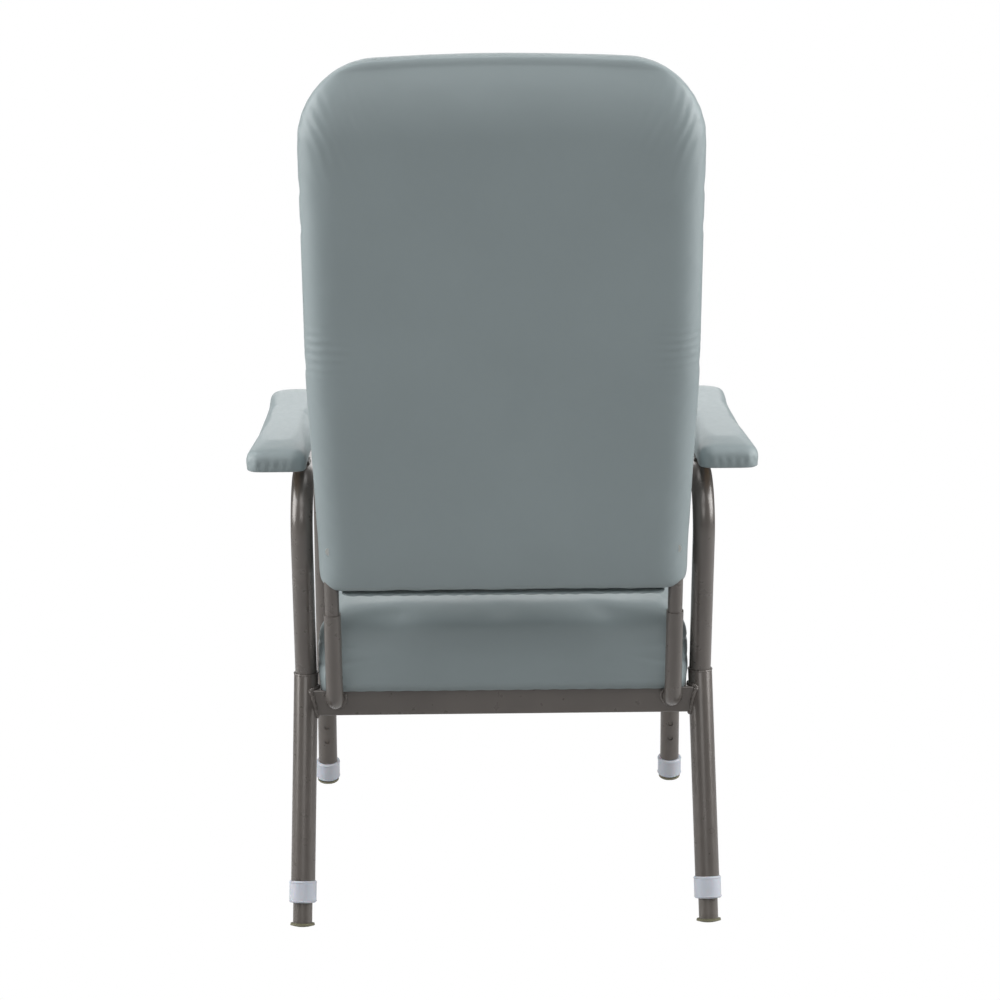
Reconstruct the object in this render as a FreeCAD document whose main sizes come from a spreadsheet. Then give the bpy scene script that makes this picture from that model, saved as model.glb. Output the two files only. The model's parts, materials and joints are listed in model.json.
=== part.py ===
"""High-back patient chair with push-button height-adjustable legs and a lift-out backrest.

Frame: +Z up, the sitter looks along -Y, the chair is symmetric about X = 0, and the origin is on the
floor under the middle of the chair. "Left" is the sitter's left, +X. Lengths are in millimetres.

Forward distances are counted from the rear feet. Along a leg, sizes run up the leg's own axis from
the point where that axis meets the floor.
"""

import FreeCAD
import Part
import Sketcher

import math
import os
import sys

from FreeCAD import Placement, Rotation, Vector

# ---------------------------------------------------------------- driving dimensions

DIMENSIONS = {
    # stance
    "rear_foot_y": 249.24,
    "wheelbase": 637.0,
    "rear_foot_half": 267.5,
    "front_foot_half": 265.0,
    "side_lean_degrees": 0.77,
    # side frame: one bent tube, front leg, arm and rear upright
    "frame_tube": 28.6,
    "frame_wall": 1.5,
    "frame_bend": 60.0,
    "front_corner_forward": 509.0,
    "front_corner_height": 599.0,
    "rear_corner_behind": 8.0,
    "rear_corner_height": 593.0,
    "knee_forward": 84.0,
    "knee_height": 324.0,
    "past_knee": 12.0,
    # rear legs
    "leg_tube": 31.8,
    "leg_wall": 1.6,
    "leg_past_knee": 20.0,
    # leg adjustment
    "extension_tube": 25.4,
    "extension_wall": 1.5,
    "extension_inside": 246.0,
    "hole_pitch": 25.0,
    "hole_count": 7.0,
    "first_hole": 65.5,
    "hole_radius": 4.0,
    "button_radius": 3.7,
    "button_stand": 2.6,
    "button_root": 8.5,
    "button_round": 2.4,
    "leaf_width": 8.0,
    "leaf_thickness": 0.8,
    "leaf_inside": 8.8,
    "leaf_below": 14.0,
    "leaf_fold": 33.0,
    "leaf_gap": 1.0,
    "moving_leaf_inside": 7.9,
    "moving_leaf_below": 9.0,
    "moving_leaf_length": 38.0,
    "front_tube_end": 11.0,
    "rear_tube_end": 36.0,
    "bush_bore": 25.6,
    "bush_clearance": 0.1,
    "bush_length": 10.0,
    "collar_diameter": 35.6,
    "collar_length": 28.5,
    "collar_lip": 2.5,
    "collar_liner": 20.0,
    "collar_bevel": 1.0,
    # rubber feet
    "foot_radius": 15.8,
    "foot_dome": 45.0,
    "foot_height": 6.5,
    "foot_flat_depth": 0.6,
    "foot_stem": 22.0,
    "foot_root": 2.0,
    # cross members
    "bar_height": 35.0,
    "bar_depth": 20.0,
    "bar_wall": 1.6,
    "bar_edge": 2.5,
    "bar_half": 258.0,
    "rear_bar_bottom": 270.0,
    "front_bar_bottom": 301.2,
    "rail_width": 20.0,
    "rail_height": 30.0,
    "rail_half": 190.0,
    # backrest posts and their sockets
    "socket_tube": 22.2,
    "socket_wall": 1.5,
    "socket_bend": 33.0,
    "socket_rim_height": 423.0,
    "socket_raise": 6.0,
    "post_half": 220.5,
    "post_tube": 19.0,
    "post_wall": 1.5,
    "post_below": 138.0,
    "post_inside": 330.0,
    # backrest
    "recline_degrees": 11.5,
    "back_bottom_height": 455.0,
    "post_behind": 1.5,
    "back_bottom_half": 236.0,
    "back_half": 248.0,
    "back_taper_height": 290.0,
    "back_length": 681.0,
    "back_crown": 14.0,
    "back_corner": 90.0,
    "back_bottom_corner": 20.0,
    "back_rear": 22.5,
    "back_split": 9.5,
    "back_front": 81.5,
    "back_rear_edge": 30.0,
    "back_front_edge": 38.0,
    "board_thickness": 12.0,
    "back_board_inset": 6.0,
    "post_groove_gap": 0.3,
    "post_groove_end": 2.0,
    "strip_half": 208.0,
    "strip_depth": 26.0,
    "strip_thickness": 3.5,
    "strip_corner": 10.0,
    # seat
    "seat_tilt_degrees": 3.5,
    "seat_rear_forward": 50.0,
    "seat_rear_height": 305.2,
    "seat_half": 243.5,
    "seat_length": 540.0,
    "seat_thickness": 106.0,
    "seat_corner": 34.0,
    "seat_top_edge": 24.0,
    "seat_bottom_edge": 8.0,
    "seat_board_inset": 12.0,
    "seat_board_corner": 24.0,
    "board_hollow": 2.0,
    # armrests
    "pad_centre": 287.8,
    "pad_half": 38.2,
    "pad_length": 488.0,
    "pad_thickness": 31.0,
    "pad_corner": 22.0,
    "pad_top_edge": 13.0,
    "pad_bottom_edge": 5.0,
    "pad_board_corner": 14.0,
    "pad_board_inset": 8.0,
    "tab_thickness": 3.0,
    "tab_width": 30.0,
    "tab_inner": 38.0,
    "tab_outer": 26.0,
    # fasteners
    "bolt_radius": 3.0,
    "bolt_clearance": 3.3,
    "bolt_head_radius": 5.5,
    "bolt_head": 3.0,
    "nut_barrel_radius": 4.0,
    "nut_flange_radius": 9.0,
    "nut_flange": 1.5,
    "nut_barrel": 8.0,
    "screw_bite": 9.0,
    "screw_pilot": 10.5,
    "through": 60.0,
}

SIDES = (("left", 1), ("right", -1))
BACK_BOLT_HEIGHTS = (60.0, 180.0, 300.0)
SEAT_BOLT_PLACES = (110.0, 430.0)
TAB_PLACES = (90.0, 400.0)
ARM_SCREW_PLACES = (2.0, 18.0)

doc = FreeCAD.newDocument("patient_chair")
sheet = doc.addObject("Spreadsheet::Sheet", "Sizes")
for row, (alias, value) in enumerate(DIMENSIONS.items(), start=1):
    sheet.set(f"A{row}", alias)
    sheet.set(f"B{row}", f"{value:g}")
    sheet.setAlias(f"B{row}", alias)
doc.recompute()

parts = []


def size(alias):
    """A driving dimension's value, read back from the sheet."""
    return float(getattr(sheet, alias))


def cells(text):
    """An expression with each alias prefixed by the sheet's name."""
    for alias in sorted(DIMENSIONS, key=len, reverse=True):
        text = text.replace("<" + alias + ">", "Sizes." + alias)
    return text


def number(text):
    """The value of an expression in the sheet's aliases."""
    return float(sheet.evalExpression(cells(text)))


# ---------------------------------------------------------------- sketches and bodies


class Outline:
    """A sketch on one of a body's origin planes, with its sizes bound to the sheet."""

    def __init__(self, body, role, name):
        self.sketch = body.newObject("Sketcher::SketchObject", name)
        plane = [f for f in body.Origin.OriginFeatures if f.Role == role][0]
        self.sketch.AttachmentSupport = [(plane, "")]
        self.sketch.MapMode = "FlatFace"

    def bound(self, kind, *arguments, to):
        """Adds a dimension whose value follows the sheet."""
        value = number(to)
        index = self.sketch.addConstraint(Sketcher.Constraint(kind, *arguments, value))
        label = f"size{index}"
        self.sketch.renameConstraint(index, label)
        self.sketch.setExpression("Constraints." + label, cells(to))

    def place(self, geometry, vertex, across, up):
        """Holds a vertex at two coordinates, each an expression in the sheet's aliases."""
        for kind, axis, text in (("DistanceX", -2, across), ("DistanceY", -1, up)):
            if number(text) == 0.0:
                self.sketch.addConstraint(Sketcher.Constraint("PointOnObject", geometry, vertex, axis))
            else:
                self.bound(kind, -1, 1, geometry, vertex, to=text)

    def circle(self, across, up, radius):
        centre = Vector(number(across), number(up), 0)
        index = self.sketch.addGeometry(Part.Circle(centre, Vector(0, 0, 1), number(radius)), False)
        self.place(index, 3, across, up)
        self.bound("Radius", index, to=radius)

    def polygon(self, corners):
        """A closed outline of straight edges through (across, up) corners."""
        points = [Vector(number(a), number(b), 0) for a, b in corners]
        following = points[1:] + points[:1]
        lines = [Part.LineSegment(p, q) for p, q in zip(points, following)]
        first = self.sketch.addGeometry(lines, False)[0]
        count = len(points)
        for k in range(count):
            this, after = first + k, first + (k + 1) % count
            self.sketch.addConstraint(Sketcher.Constraint("Coincident", this, 2, after, 1))
        for k, (across, up) in enumerate(corners):
            self.place(first + k, 1, across, up)

    def route(self, corners, radius):
        """An open path of straight runs joined by tangent arcs at its inner corners."""
        points = [Vector(number(a), number(b), 0) for a, b in corners]
        bend = number(radius)
        geometry, start, arc_ends = [], points[0], []
        for before, corner, after in zip(points, points[1:], points[2:]):
            incoming = (corner - before).normalize()
            outgoing = (after - corner).normalize()
            turn = incoming.getAngle(outgoing)
            back_off = bend * math.tan(turn / 2)
            enter = corner - incoming * back_off
            leave = corner + outgoing * back_off
            inward = (outgoing - incoming).normalize()
            centre = corner + inward * (bend / math.cos(turn / 2))
            angles = [math.atan2((p - centre).y, (p - centre).x) for p in (enter, leave)]
            turns_left = incoming.cross(outgoing).z > 0
            arc_ends.append((1, 2) if turns_left else (2, 1))
            if not turns_left:
                angles.reverse()
            geometry.append(Part.LineSegment(start, enter))
            geometry.append(Part.ArcOfCircle(Part.Circle(centre, Vector(0, 0, 1), bend), *angles))
            start = leave
        geometry.append(Part.LineSegment(start, points[-1]))
        ids = self.sketch.addGeometry(geometry, False)
        for k, (enter, leave) in enumerate(arc_ends):
            run, arc, following = ids[2 * k], ids[2 * k + 1], ids[2 * k + 2]
            self.sketch.addConstraint(Sketcher.Constraint("Tangent", run, 2, arc, enter))
            self.sketch.addConstraint(Sketcher.Constraint("Tangent", arc, leave, following, 1))
        for k, (across, up) in enumerate(corners[1:-1]):
            point = self.sketch.addGeometry(Part.Point(points[k + 1]), True)
            self.sketch.addConstraint(Sketcher.Constraint("PointOnObject", point, 1, ids[2 * k]))
            self.sketch.addConstraint(Sketcher.Constraint("PointOnObject", point, 1, ids[2 * k + 2]))
            self.place(point, 1, across, up)
            self.bound("Radius", ids[2 * k + 1], to=radius)
        self.place(ids[0], 1, *corners[0])
        self.place(ids[-1], 2, *corners[-1])
        doc.recompute()
        return ids


def new_body(name):
    return doc.addObject("PartDesign::Body", name)


def pad(body, outline, length, both_ways=False, backwards=False):
    feature = body.newObject("PartDesign::Pad", "Pad")
    feature.Profile = outline.sketch
    feature.setExpression("Length", cells(length))
    feature.Midplane = both_ways
    feature.Reversed = backwards
    outline.sketch.Visibility = False
    doc.recompute()
    return feature


def pocket(body, outline, length, both_ways=False, backwards=False):
    """Cuts a pocket, and stops if it removed nothing."""
    before = body.Tip.Shape.Volume
    feature = body.newObject("PartDesign::Pocket", "Pocket")
    feature.Profile = outline.sketch
    feature.setExpression("Length", cells(length))
    feature.Midplane = both_ways
    feature.Reversed = backwards
    doc.recompute()
    if not feature.Shape.Volume < before - 1.0:
        sys.exit(f"a pocket of {body.Name} cut nothing")
    return feature


def revolve(body, outline):
    """Turns an outline on the XZ plane a full turn about the body's own Z axis."""
    feature = body.newObject("PartDesign::Revolution", "Revolution")
    feature.Profile = outline.sketch
    feature.ReferenceAxis = (outline.sketch, ["V_Axis"])
    feature.Angle = 360.0
    doc.recompute()
    return feature


def pipe(body, path, ids, radius, wall):
    """Sweeps a ring along a path sketch, from the path's first point."""
    ring = body.newObject("Sketcher::SketchObject", "Ring")
    ring.AttachmentSupport = [(path.sketch, "Edge1")]
    ring.MapMode = "NormalToEdge"
    ring.MapPathParameter = 0.0
    for text in (radius, f"{radius} - {wall}"):
        index = ring.addGeometry(Part.Circle(Vector(0, 0, 0), Vector(0, 0, 1), number(text)), False)
        ring.addConstraint(Sketcher.Constraint("Coincident", index, 3, -1, 1))
        held = ring.addConstraint(Sketcher.Constraint("Radius", index, number(text)))
        ring.renameConstraint(held, f"radius{index}")
        ring.setExpression(f"Constraints.radius{index}", cells(text))
    doc.recompute()
    feature = body.newObject("PartDesign::AdditivePipe", "Pipe")
    feature.Profile = ring
    feature.Spine = (path.sketch, [f"Edge{k + 1}" for k in range(len(ids))])
    doc.recompute()
    return feature


def round_edges(body, chosen, radius):
    """Rounds the edges of the body's last feature that a test picks out."""
    base = body.Tip
    names = [f"Edge{k}" for k, edge in enumerate(base.Shape.Edges, start=1) if chosen(edge)]
    if not names:
        sys.exit(f"no edge of {body.Name} to round")
    feature = body.newObject("PartDesign::Fillet", "Fillet")
    feature.Base = (base, names)
    feature.setExpression("Radius", cells(radius))
    doc.recompute()
    return feature


def along_z(edge):
    """True for an edge that runs only along the body's Z axis."""
    bounds = edge.BoundBox
    return bounds.ZLength > 1.0 and bounds.XLength < 0.01 and bounds.YLength < 0.01


def in_plane(axis, value):
    """A test for edges lying in the plane where one coordinate has a value."""

    def chosen(edge):
        bounds = edge.BoundBox
        low, high = getattr(bounds, axis + "Min"), getattr(bounds, axis + "Max")
        return abs(low - value) < 0.05 and abs(high - value) < 0.05

    return chosen


# ---------------------------------------------------------------- primitives and booleans


def cylinder(name, radius, length, placement):
    """A Part cylinder along its placement's Z axis, sized by two expressions."""
    feature = doc.addObject("Part::Cylinder", name)
    feature.setExpression("Radius", cells(radius))
    feature.setExpression("Height", cells(length))
    feature.Placement = placement
    return feature


def block(name, length, width, height, placement):
    """A Part box sized by three expressions."""
    feature = doc.addObject("Part::Box", name)
    for side, text in (("Length", length), ("Width", width), ("Height", height)):
        feature.setExpression(side, cells(text))
    feature.Placement = placement
    return feature


def fuse(name, shapes):
    feature = doc.addObject("Part::MultiFuse", name)
    feature.Shapes = shapes
    return feature


def group(name, shapes):
    """Several separate solids in one node."""
    feature = doc.addObject("Part::Compound", name)
    feature.Links = shapes
    return feature


def cut(name, base, tools):
    """The base less all the tools; stops if nothing was removed."""
    tool = tools[0] if len(tools) == 1 else fuse(name + "_tools", tools)
    feature = doc.addObject("Part::Cut", name)
    feature.Base = base
    feature.Tool = tool
    doc.recompute()
    if not feature.Shape.Volume < base.Shape.Volume - 1.0:
        sys.exit(f"the cut {name} removed nothing")
    return feature


def node(feature, label):
    """Names a finished sub-part, which is then written to its own file."""
    feature.Label = label
    parts.append(feature)
    return feature


# ---------------------------------------------------------------- lines the parts share


def leg_line(side, which):
    """A leg axis's foot point on the floor and its unit direction upwards."""
    rear_foot = size("rear_foot_y")
    if which == "front":
        foot = Vector(side * size("front_foot_half"), rear_foot - size("wheelbase"), 0)
        forward, up = size("front_corner_forward"), size("front_corner_height")
    else:
        foot = Vector(side * size("rear_foot_half"), rear_foot, 0)
        forward, up = size("knee_forward"), size("knee_height")
    inward = math.tan(math.radians(size("side_lean_degrees"))) * up
    top = Vector(side * (size("front_foot_half") - inward), rear_foot - forward, up)
    return foot, (top - foot).normalize()


def leg_placement(side, which, distance):
    """Local Z up the leg axis from a distance along it, local Y towards the chair's middle."""
    foot, up = leg_line(side, which)
    towards_middle = Vector(0, 1 if which == "front" else -1, 0)
    rotation = Rotation(Vector(0, 0, 0), towards_middle, up, "ZYX")
    return Placement(foot + up * distance, rotation)


def across_leg(side, which, distance, start=0.0):
    """Local Z out of a leg through its row of holes, from a distance up its axis."""
    here = leg_placement(side, which, distance)
    out = here.Rotation.multVec(Vector(0, 1, 0))
    return Placement(here.Base + out * start, Rotation(Vector(0, 0, 1), out))


def side_placement(side):
    """The side frame's plane: the YZ plane leaning inwards as it rises."""
    lean = Rotation(Vector(0, 1, 0), -side * size("side_lean_degrees"))
    return Placement(Vector(side * size("front_foot_half"), 0, 0), lean)


def side_half(height):
    """The side frame's distance from the middle plane at a height."""
    return size("front_foot_half") - math.tan(math.radians(size("side_lean_degrees"))) * height


def knee_point(side):
    """Where the upright's axis meets the rear leg's."""
    height = size("knee_height")
    return Vector(side * side_half(height), size("rear_foot_y") - size("knee_forward"), height)


def back_placement(x=0.0, y=0.0, z=0.0):
    """The backrest's own frame: Z up the posts, Y to the rear, origin where the posts enter it."""
    lean = Rotation(Vector(1, 0, 0), -size("recline_degrees"))
    base = Vector(0, size("rear_foot_y") + size("post_behind"), size("back_bottom_height"))
    return Placement(base, lean).multiply(Placement(Vector(x, y, z), Rotation()))


def seat_placement(x=0.0, y=0.0, z=0.0):
    """The seat's own frame: origin at its rear bottom edge, Z out of the seat, -Y to the front."""
    lean = Rotation(Vector(1, 0, 0), -size("seat_tilt_degrees"))
    base = Vector(0, size("rear_foot_y") - size("seat_rear_forward"), size("seat_rear_height"))
    return Placement(base, lean).multiply(Placement(Vector(x, y, z), Rotation()))


def arm_slope():
    """How much the arm rises for each millimetre forward."""
    rise = size("front_corner_height") - size("rear_corner_height")
    return rise / (size("front_corner_forward") + size("rear_corner_behind"))


def arm_placement(side, x=0.0, y=0.0, z=0.0):
    """An armrest's own frame: origin under its rear end on the tabs, -Y to the front."""
    lean = Rotation(Vector(1, 0, 0), -math.degrees(math.atan(arm_slope())))
    top = size("rear_corner_height") + size("frame_tube") / 2 + size("tab_thickness")
    behind = size("rear_foot_y") + size("rear_corner_behind")
    base = Vector(side * size("pad_centre"), behind, top)
    return Placement(base, lean).multiply(Placement(Vector(side * x, y, z), Rotation()))


def turned(placement, axis, degrees):
    """The same place, with the local frame turned about one of its own axes."""
    return placement.multiply(Placement(Vector(0, 0, 0), Rotation(axis, degrees)))


FRONT = ("<rear_foot_y> - <wheelbase>", "0")
FRONT_CORNER = ("<rear_foot_y> - <front_corner_forward>", "<front_corner_height>")
REAR_CORNER = ("<rear_foot_y> + <rear_corner_behind>", "<rear_corner_height>")
KNEE = ("<rear_foot_y> - <knee_forward>", "<knee_height>")

# ---------------------------------------------------------------- frame


def hole_row(name, side, which):
    """Cutters for the row of height-adjustment holes through one wall of a leg."""
    end = size(f"{which}_tube_end")
    row = []
    for k in range(int(size("hole_count"))):
        distance = end + size("first_hole") + k * size("hole_pitch")
        place = across_leg(side, which, distance)
        row.append(cylinder(f"{name}_hole{k}", "<hole_radius>", "<leg_tube>", place))
    return row


def side_frame(label, side):
    """One bent tube: up the front leg, back along the arm and down to the knee."""
    body = new_body(label + "_bend")
    path = Outline(body, "YZ_Plane", "Path")
    run = "(<front_corner_forward> - <wheelbase>) / <front_corner_height>"
    start = (f"<rear_foot_y> - <wheelbase> - {run} * <front_tube_end>", "<front_tube_end>")
    drop = "(<rear_corner_behind> + <knee_forward>) / (<rear_corner_height> - <knee_height>)"
    end = (f"<rear_foot_y> - <knee_forward> - {drop} * <past_knee>", "<knee_height> - <past_knee>")
    ids = path.route([start, FRONT_CORNER, REAR_CORNER, end], "<frame_bend>")
    pipe(body, path, ids, "<frame_tube> / 2", "<frame_wall>")
    body.Placement = side_placement(side)
    reach = size("frame_tube")
    below = block(label + "_below", "2 * <frame_tube>", "2 * <frame_tube>", "<frame_tube>",
                  Placement(knee_point(side) - Vector(reach, reach, reach), Rotation()))
    return node(cut(label, body, [below] + hole_row(label, side, "front")), label)


def rear_leg(label, side):
    """A straight tube from the knee down to the collar, cut level where it meets the upright."""
    body = new_body(label + "_tube")
    ring = Outline(body, "XY_Plane", "Ring")
    ring.circle("0", "0", "<leg_tube> / 2")
    ring.circle("0", "0", "<leg_tube> / 2 - <leg_wall>")
    pad(body, ring, "<knee_height> + <leg_past_knee> - <rear_tube_end>")
    body.Placement = leg_placement(side, "rear", size("rear_tube_end"))
    reach = size("leg_tube")
    above = block(label + "_above", "2 * <leg_tube>", "2 * <leg_tube>", "2 * <leg_tube>",
                  Placement(knee_point(side) - Vector(reach, reach, 0), Rotation()))
    return node(cut(label, body, [above] + hole_row(label, side, "rear")), label)


def leg_rods(name, which, bottom, radius):
    """The outside of both legs of a pair beside a crossbar, to cope its ends."""
    rods = []
    for word, side in SIDES:
        place = leg_placement(side, which, bottom - size("bar_height"))
        rods.append(cylinder(f"{name}_{word}_rod", radius, "3 * <bar_height>", place))
    return rods


def crossbar(label, which, bottom, radius):
    """A rectangular tube between two legs, its ends coped to them."""
    body = new_body(label + "_tube")
    foot, up = leg_line(1, which)
    centre_y = foot.y + up.y / up.z * (bottom + size("bar_height") / 2)
    section = Outline(body, "YZ_Plane", "Section")
    for inset in ("0", "<bar_wall>"):
        across, tall = f"<bar_depth> / 2 - {inset}", f"<bar_height> / 2 - {inset}"
        section.polygon([(f"-({across})", f"-({tall})"), (across, f"-({tall})"),
                         (across, tall), (f"-({across})", tall)])
    pad(body, section, "2 * <bar_half>", both_ways=True)
    half_deep, half_tall = size("bar_depth") / 2, size("bar_height") / 2

    def outer_edge(edge):
        bounds = edge.BoundBox
        long = bounds.XLength > size("bar_half")
        return long and abs(abs(bounds.YMin) - half_deep) < 0.01 and abs(abs(bounds.ZMin) - half_tall) < 0.01

    round_edges(body, outer_edge, "<bar_edge>")
    body.Placement = Placement(Vector(0, centre_y, bottom + half_tall), Rotation())
    return node(cut(label, body, leg_rods(label, which, bottom, radius)), label), centre_y


def seat_rail(label, side, rear_face, front_face):
    """A rectangular tube under the seat board, between the two crossbars."""
    body = new_body(label + "_tube")
    slope = math.tan(math.radians(size("seat_tilt_degrees")))
    seat_rear = size("rear_foot_y") - size("seat_rear_forward")
    tops = [size("seat_rear_height") + slope * (seat_rear - y) for y in (rear_face, front_face)]
    outside = Outline(body, "YZ_Plane", "Side")
    outside.polygon([(f"{rear_face:.4f}", f"{tops[0]:.4f} - <rail_height>"),
                     (f"{rear_face:.4f}", f"{tops[0]:.4f}"),
                     (f"{front_face:.4f}", f"{tops[1]:.4f}"),
                     (f"{front_face:.4f}", f"{tops[1]:.4f} - <rail_height>")])
    pad(body, outside, "<rail_width>", both_ways=True)
    inside = Outline(body, "YZ_Plane", "Inside")
    inside.polygon([(f"{rear_face:.4f}", f"{tops[0]:.4f} - <rail_height> + <bar_wall>"),
                    (f"{rear_face:.4f}", f"{tops[0]:.4f} - <bar_wall>"),
                    (f"{front_face:.4f}", f"{tops[1]:.4f} - <bar_wall>"),
                    (f"{front_face:.4f}", f"{tops[1]:.4f} - <rail_height> + <bar_wall>")])
    pocket(body, inside, "<rail_width> - 2 * <bar_wall>", both_ways=True)
    body.Placement = Placement(Vector(side * size("rail_half"), 0, 0), Rotation())
    holes = [seat_bolt_hole(f"{label}_bolt{k}", side, place) for k, place in enumerate(SEAT_BOLT_PLACES)]
    return node(cut(label, body, holes), label)


def seat_bolt_hole(name, side, place):
    """A clearance hole through a rail and the seat board above it."""
    spot = seat_placement(side * size("rail_half"), -place, -2 * size("rail_height"))
    return cylinder(name, "<bolt_clearance>", "3 * <rail_height>", spot)


def back_socket(label, side, bar_face):
    """A tube open at the top for a backrest post, bent forward into the rear crossbar."""
    body = new_body(label)
    lean = math.tan(math.radians(size("recline_degrees")))
    level = size("rear_bar_bottom") + size("bar_height") / 2 + size("socket_raise")
    entry_y = size("rear_foot_y") + size("post_behind")
    at = {z: entry_y - lean * (size("back_bottom_height") - z) for z in (level, size("socket_rim_height"))}
    path = Outline(body, "YZ_Plane", "Path")
    ids = path.route([(f"{at[size('socket_rim_height')]:.4f}", "<socket_rim_height>"),
                      (f"{at[level]:.4f}", "<rear_bar_bottom> + <bar_height> / 2 + <socket_raise>"),
                      (f"{bar_face:.4f}", "<rear_bar_bottom> + <bar_height> / 2 + <socket_raise>")],
                     "<socket_bend>")
    pipe(body, path, ids, "<socket_tube> / 2", "<socket_wall>")
    body.Placement = Placement(Vector(side * size("post_half"), 0, 0), Rotation())
    return node(body, label)


def collar(label, side, which):
    """A moulded sleeve over the leg's end that guides the extension."""
    body = new_body(label)
    end, tube = f"<{which}_tube_end>", "<frame_tube>" if which == "front" else "<leg_tube>"
    bore, outer = "<bush_bore> / 2", "<collar_diameter> / 2"
    profile = [(bore, "0"), (f"{outer} - <collar_bevel>", "0"), (outer, "<collar_bevel>"),
               (outer, "<collar_length> - <collar_bevel>"),
               (f"{outer} - <collar_bevel>", "<collar_length>"), (f"{tube} / 2", "<collar_length>"),
               (f"{tube} / 2", "<collar_lip>")]
    if which == "front":
        profile.append((bore, "<collar_lip>"))
    else:
        inside = f"{tube} / 2 - <leg_wall>"
        profile += [(inside, "<collar_lip>"), (inside, "<collar_liner>"), (bore, "<collar_liner>")]
    outline = Outline(body, "XZ_Plane", "Profile")
    outline.polygon(profile)
    revolve(body, outline)
    body.Placement = leg_placement(side, which, number(end) - size("collar_lip"))
    return node(body, label)


# ---------------------------------------------------------------- adjustable legs


def extension(label, side, which):
    """The inner leg tube, pushed fully in, with a hole for its snap button."""
    body = new_body(label + "_tube")
    ring = Outline(body, "XY_Plane", "Ring")
    ring.circle("0", "0", "<extension_tube> / 2")
    ring.circle("0", "0", "<extension_tube> / 2 - <extension_wall>")
    pad(body, ring, f"<{which}_tube_end> + <extension_inside> - <foot_height>")
    body.Placement = leg_placement(side, which, size("foot_height"))
    hole = cylinder(label + "_hole", "<hole_radius>", "<leg_tube>",
                    across_leg(side, which, button_distance(which)))
    return node(cut(label, body, [hole]), label)


def button_distance(which):
    """How far up the leg's axis the button stands, which is the top hole of a closed leg."""
    return size(f"{which}_tube_end") + size("first_hole") + (size("hole_count") - 1) * size("hole_pitch")


def foot(label, side, which):
    """A domed rubber foot with a stem in the extension, flat where it stands on the floor."""
    axis = leg_placement(side, which, 0.0)
    up = axis.Rotation.multVec(Vector(0, 0, 1))
    centre = (size("foot_dome") - size("foot_flat_depth")) / up.z
    ball = doc.addObject("Part::Sphere", label + "_dome")
    ball.setExpression("Radius", cells("<foot_dome>"))
    ball.Placement = leg_placement(side, which, centre)
    rim = cylinder(label + "_rim", "<foot_radius>", "2 * <foot_height>",
                   leg_placement(side, which, -size("foot_height")))
    pad_part = doc.addObject("Part::MultiCommon", label + "_pad")
    pad_part.Shapes = [ball, rim]
    stem = cylinder(label + "_stem", "<extension_tube> / 2 - <extension_wall>", "<foot_stem>",
                    leg_placement(side, which, size("foot_height") - size("foot_root")))
    whole = fuse(label + "_whole", [pad_part, stem])
    doc.recompute()
    reach = size("through")
    floor = block(label + "_floor", "2 * <through>", "2 * <through>", "<through>",
                  Placement(axis.Base - Vector(reach, reach, reach), Rotation()))
    return node(cut(label, whole, [floor]), label)


def spring_clip(label, side, which):
    """The fixed half of the button's leaf spring, folded over at its top."""
    body = new_body(label)
    outline = Outline(body, "YZ_Plane", "Leaf")
    inner, outer, fold_end = "-<leaf_inside>", "-<leaf_inside> - <leaf_thickness>", "-<leaf_gap>"
    low, under, top = "-<leaf_below>", "<leaf_fold>", "<leaf_fold> + <leaf_thickness>"
    outline.polygon([(outer, low), (inner, low), (inner, under), (fold_end, under), (fold_end, top),
                     (outer, top)])
    pad(body, outline, "<leaf_width>", both_ways=True)
    body.Placement = leg_placement(side, which, button_distance(which))
    return node(body, label)


def snap_button(label, side, which):
    """The button and the moving leaf that carries it."""
    tube = "<frame_tube>" if which == "front" else "<leg_tube>"
    here = button_distance(which)
    head = cylinder(label + "_head", "<button_radius>", f"{tube} / 2 + <button_stand> - <button_root>",
                    across_leg(side, which, here, size("button_root")))
    doc.recompute()
    tip = max(range(1, len(head.Shape.Edges) + 1), key=lambda k: tip_reach(head, k, side, which))
    rounded = doc.addObject("Part::Fillet", label + "_rounded")
    rounded.Base = head
    rounded.Edges = [(tip, size("button_round"), size("button_round"))]
    leaf_place = leg_placement(side, which, here - size("moving_leaf_below")).multiply(
        Placement(Vector(-size("leaf_width") / 2, size("moving_leaf_inside"), 0), Rotation()))
    leaf = block(label + "_leaf", "<leaf_width>", "<leaf_thickness>", "<moving_leaf_length>", leaf_place)
    return node(fuse(label, [rounded, leaf]), label)


def tip_reach(head, number_of_edge, side, which):
    """How far out of the leg a button edge lies, with open edges last."""
    edge = head.Shape.Edges[number_of_edge - 1]
    if not edge.isClosed():
        return -math.inf
    out = across_leg(side, which, 0.0).Rotation.multVec(Vector(0, 0, 1))
    return edge.CenterOfMass.dot(out)


def guide_bush(label, side):
    """A ring on a rear extension's top end that fills the wider rear leg."""
    body = new_body(label)
    ring = Outline(body, "XY_Plane", "Ring")
    ring.circle("0", "0", "<leg_tube> / 2 - <leg_wall> - <bush_clearance>")
    ring.circle("0", "0", "<extension_tube> / 2")
    pad(body, ring, "<bush_length>")
    top = size("rear_tube_end") + size("extension_inside")
    body.Placement = leg_placement(side, "rear", top - size("bush_length"))
    return node(body, label)


# ---------------------------------------------------------------- seat


def rounded_block(body, corners, thickness, radius):
    """A slab on its own XY plane with rounded corners."""
    outline = Outline(body, "XY_Plane", "Outline")
    outline.polygon(corners)
    pad(body, outline, thickness)
    round_edges(body, along_z, radius)


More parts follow.
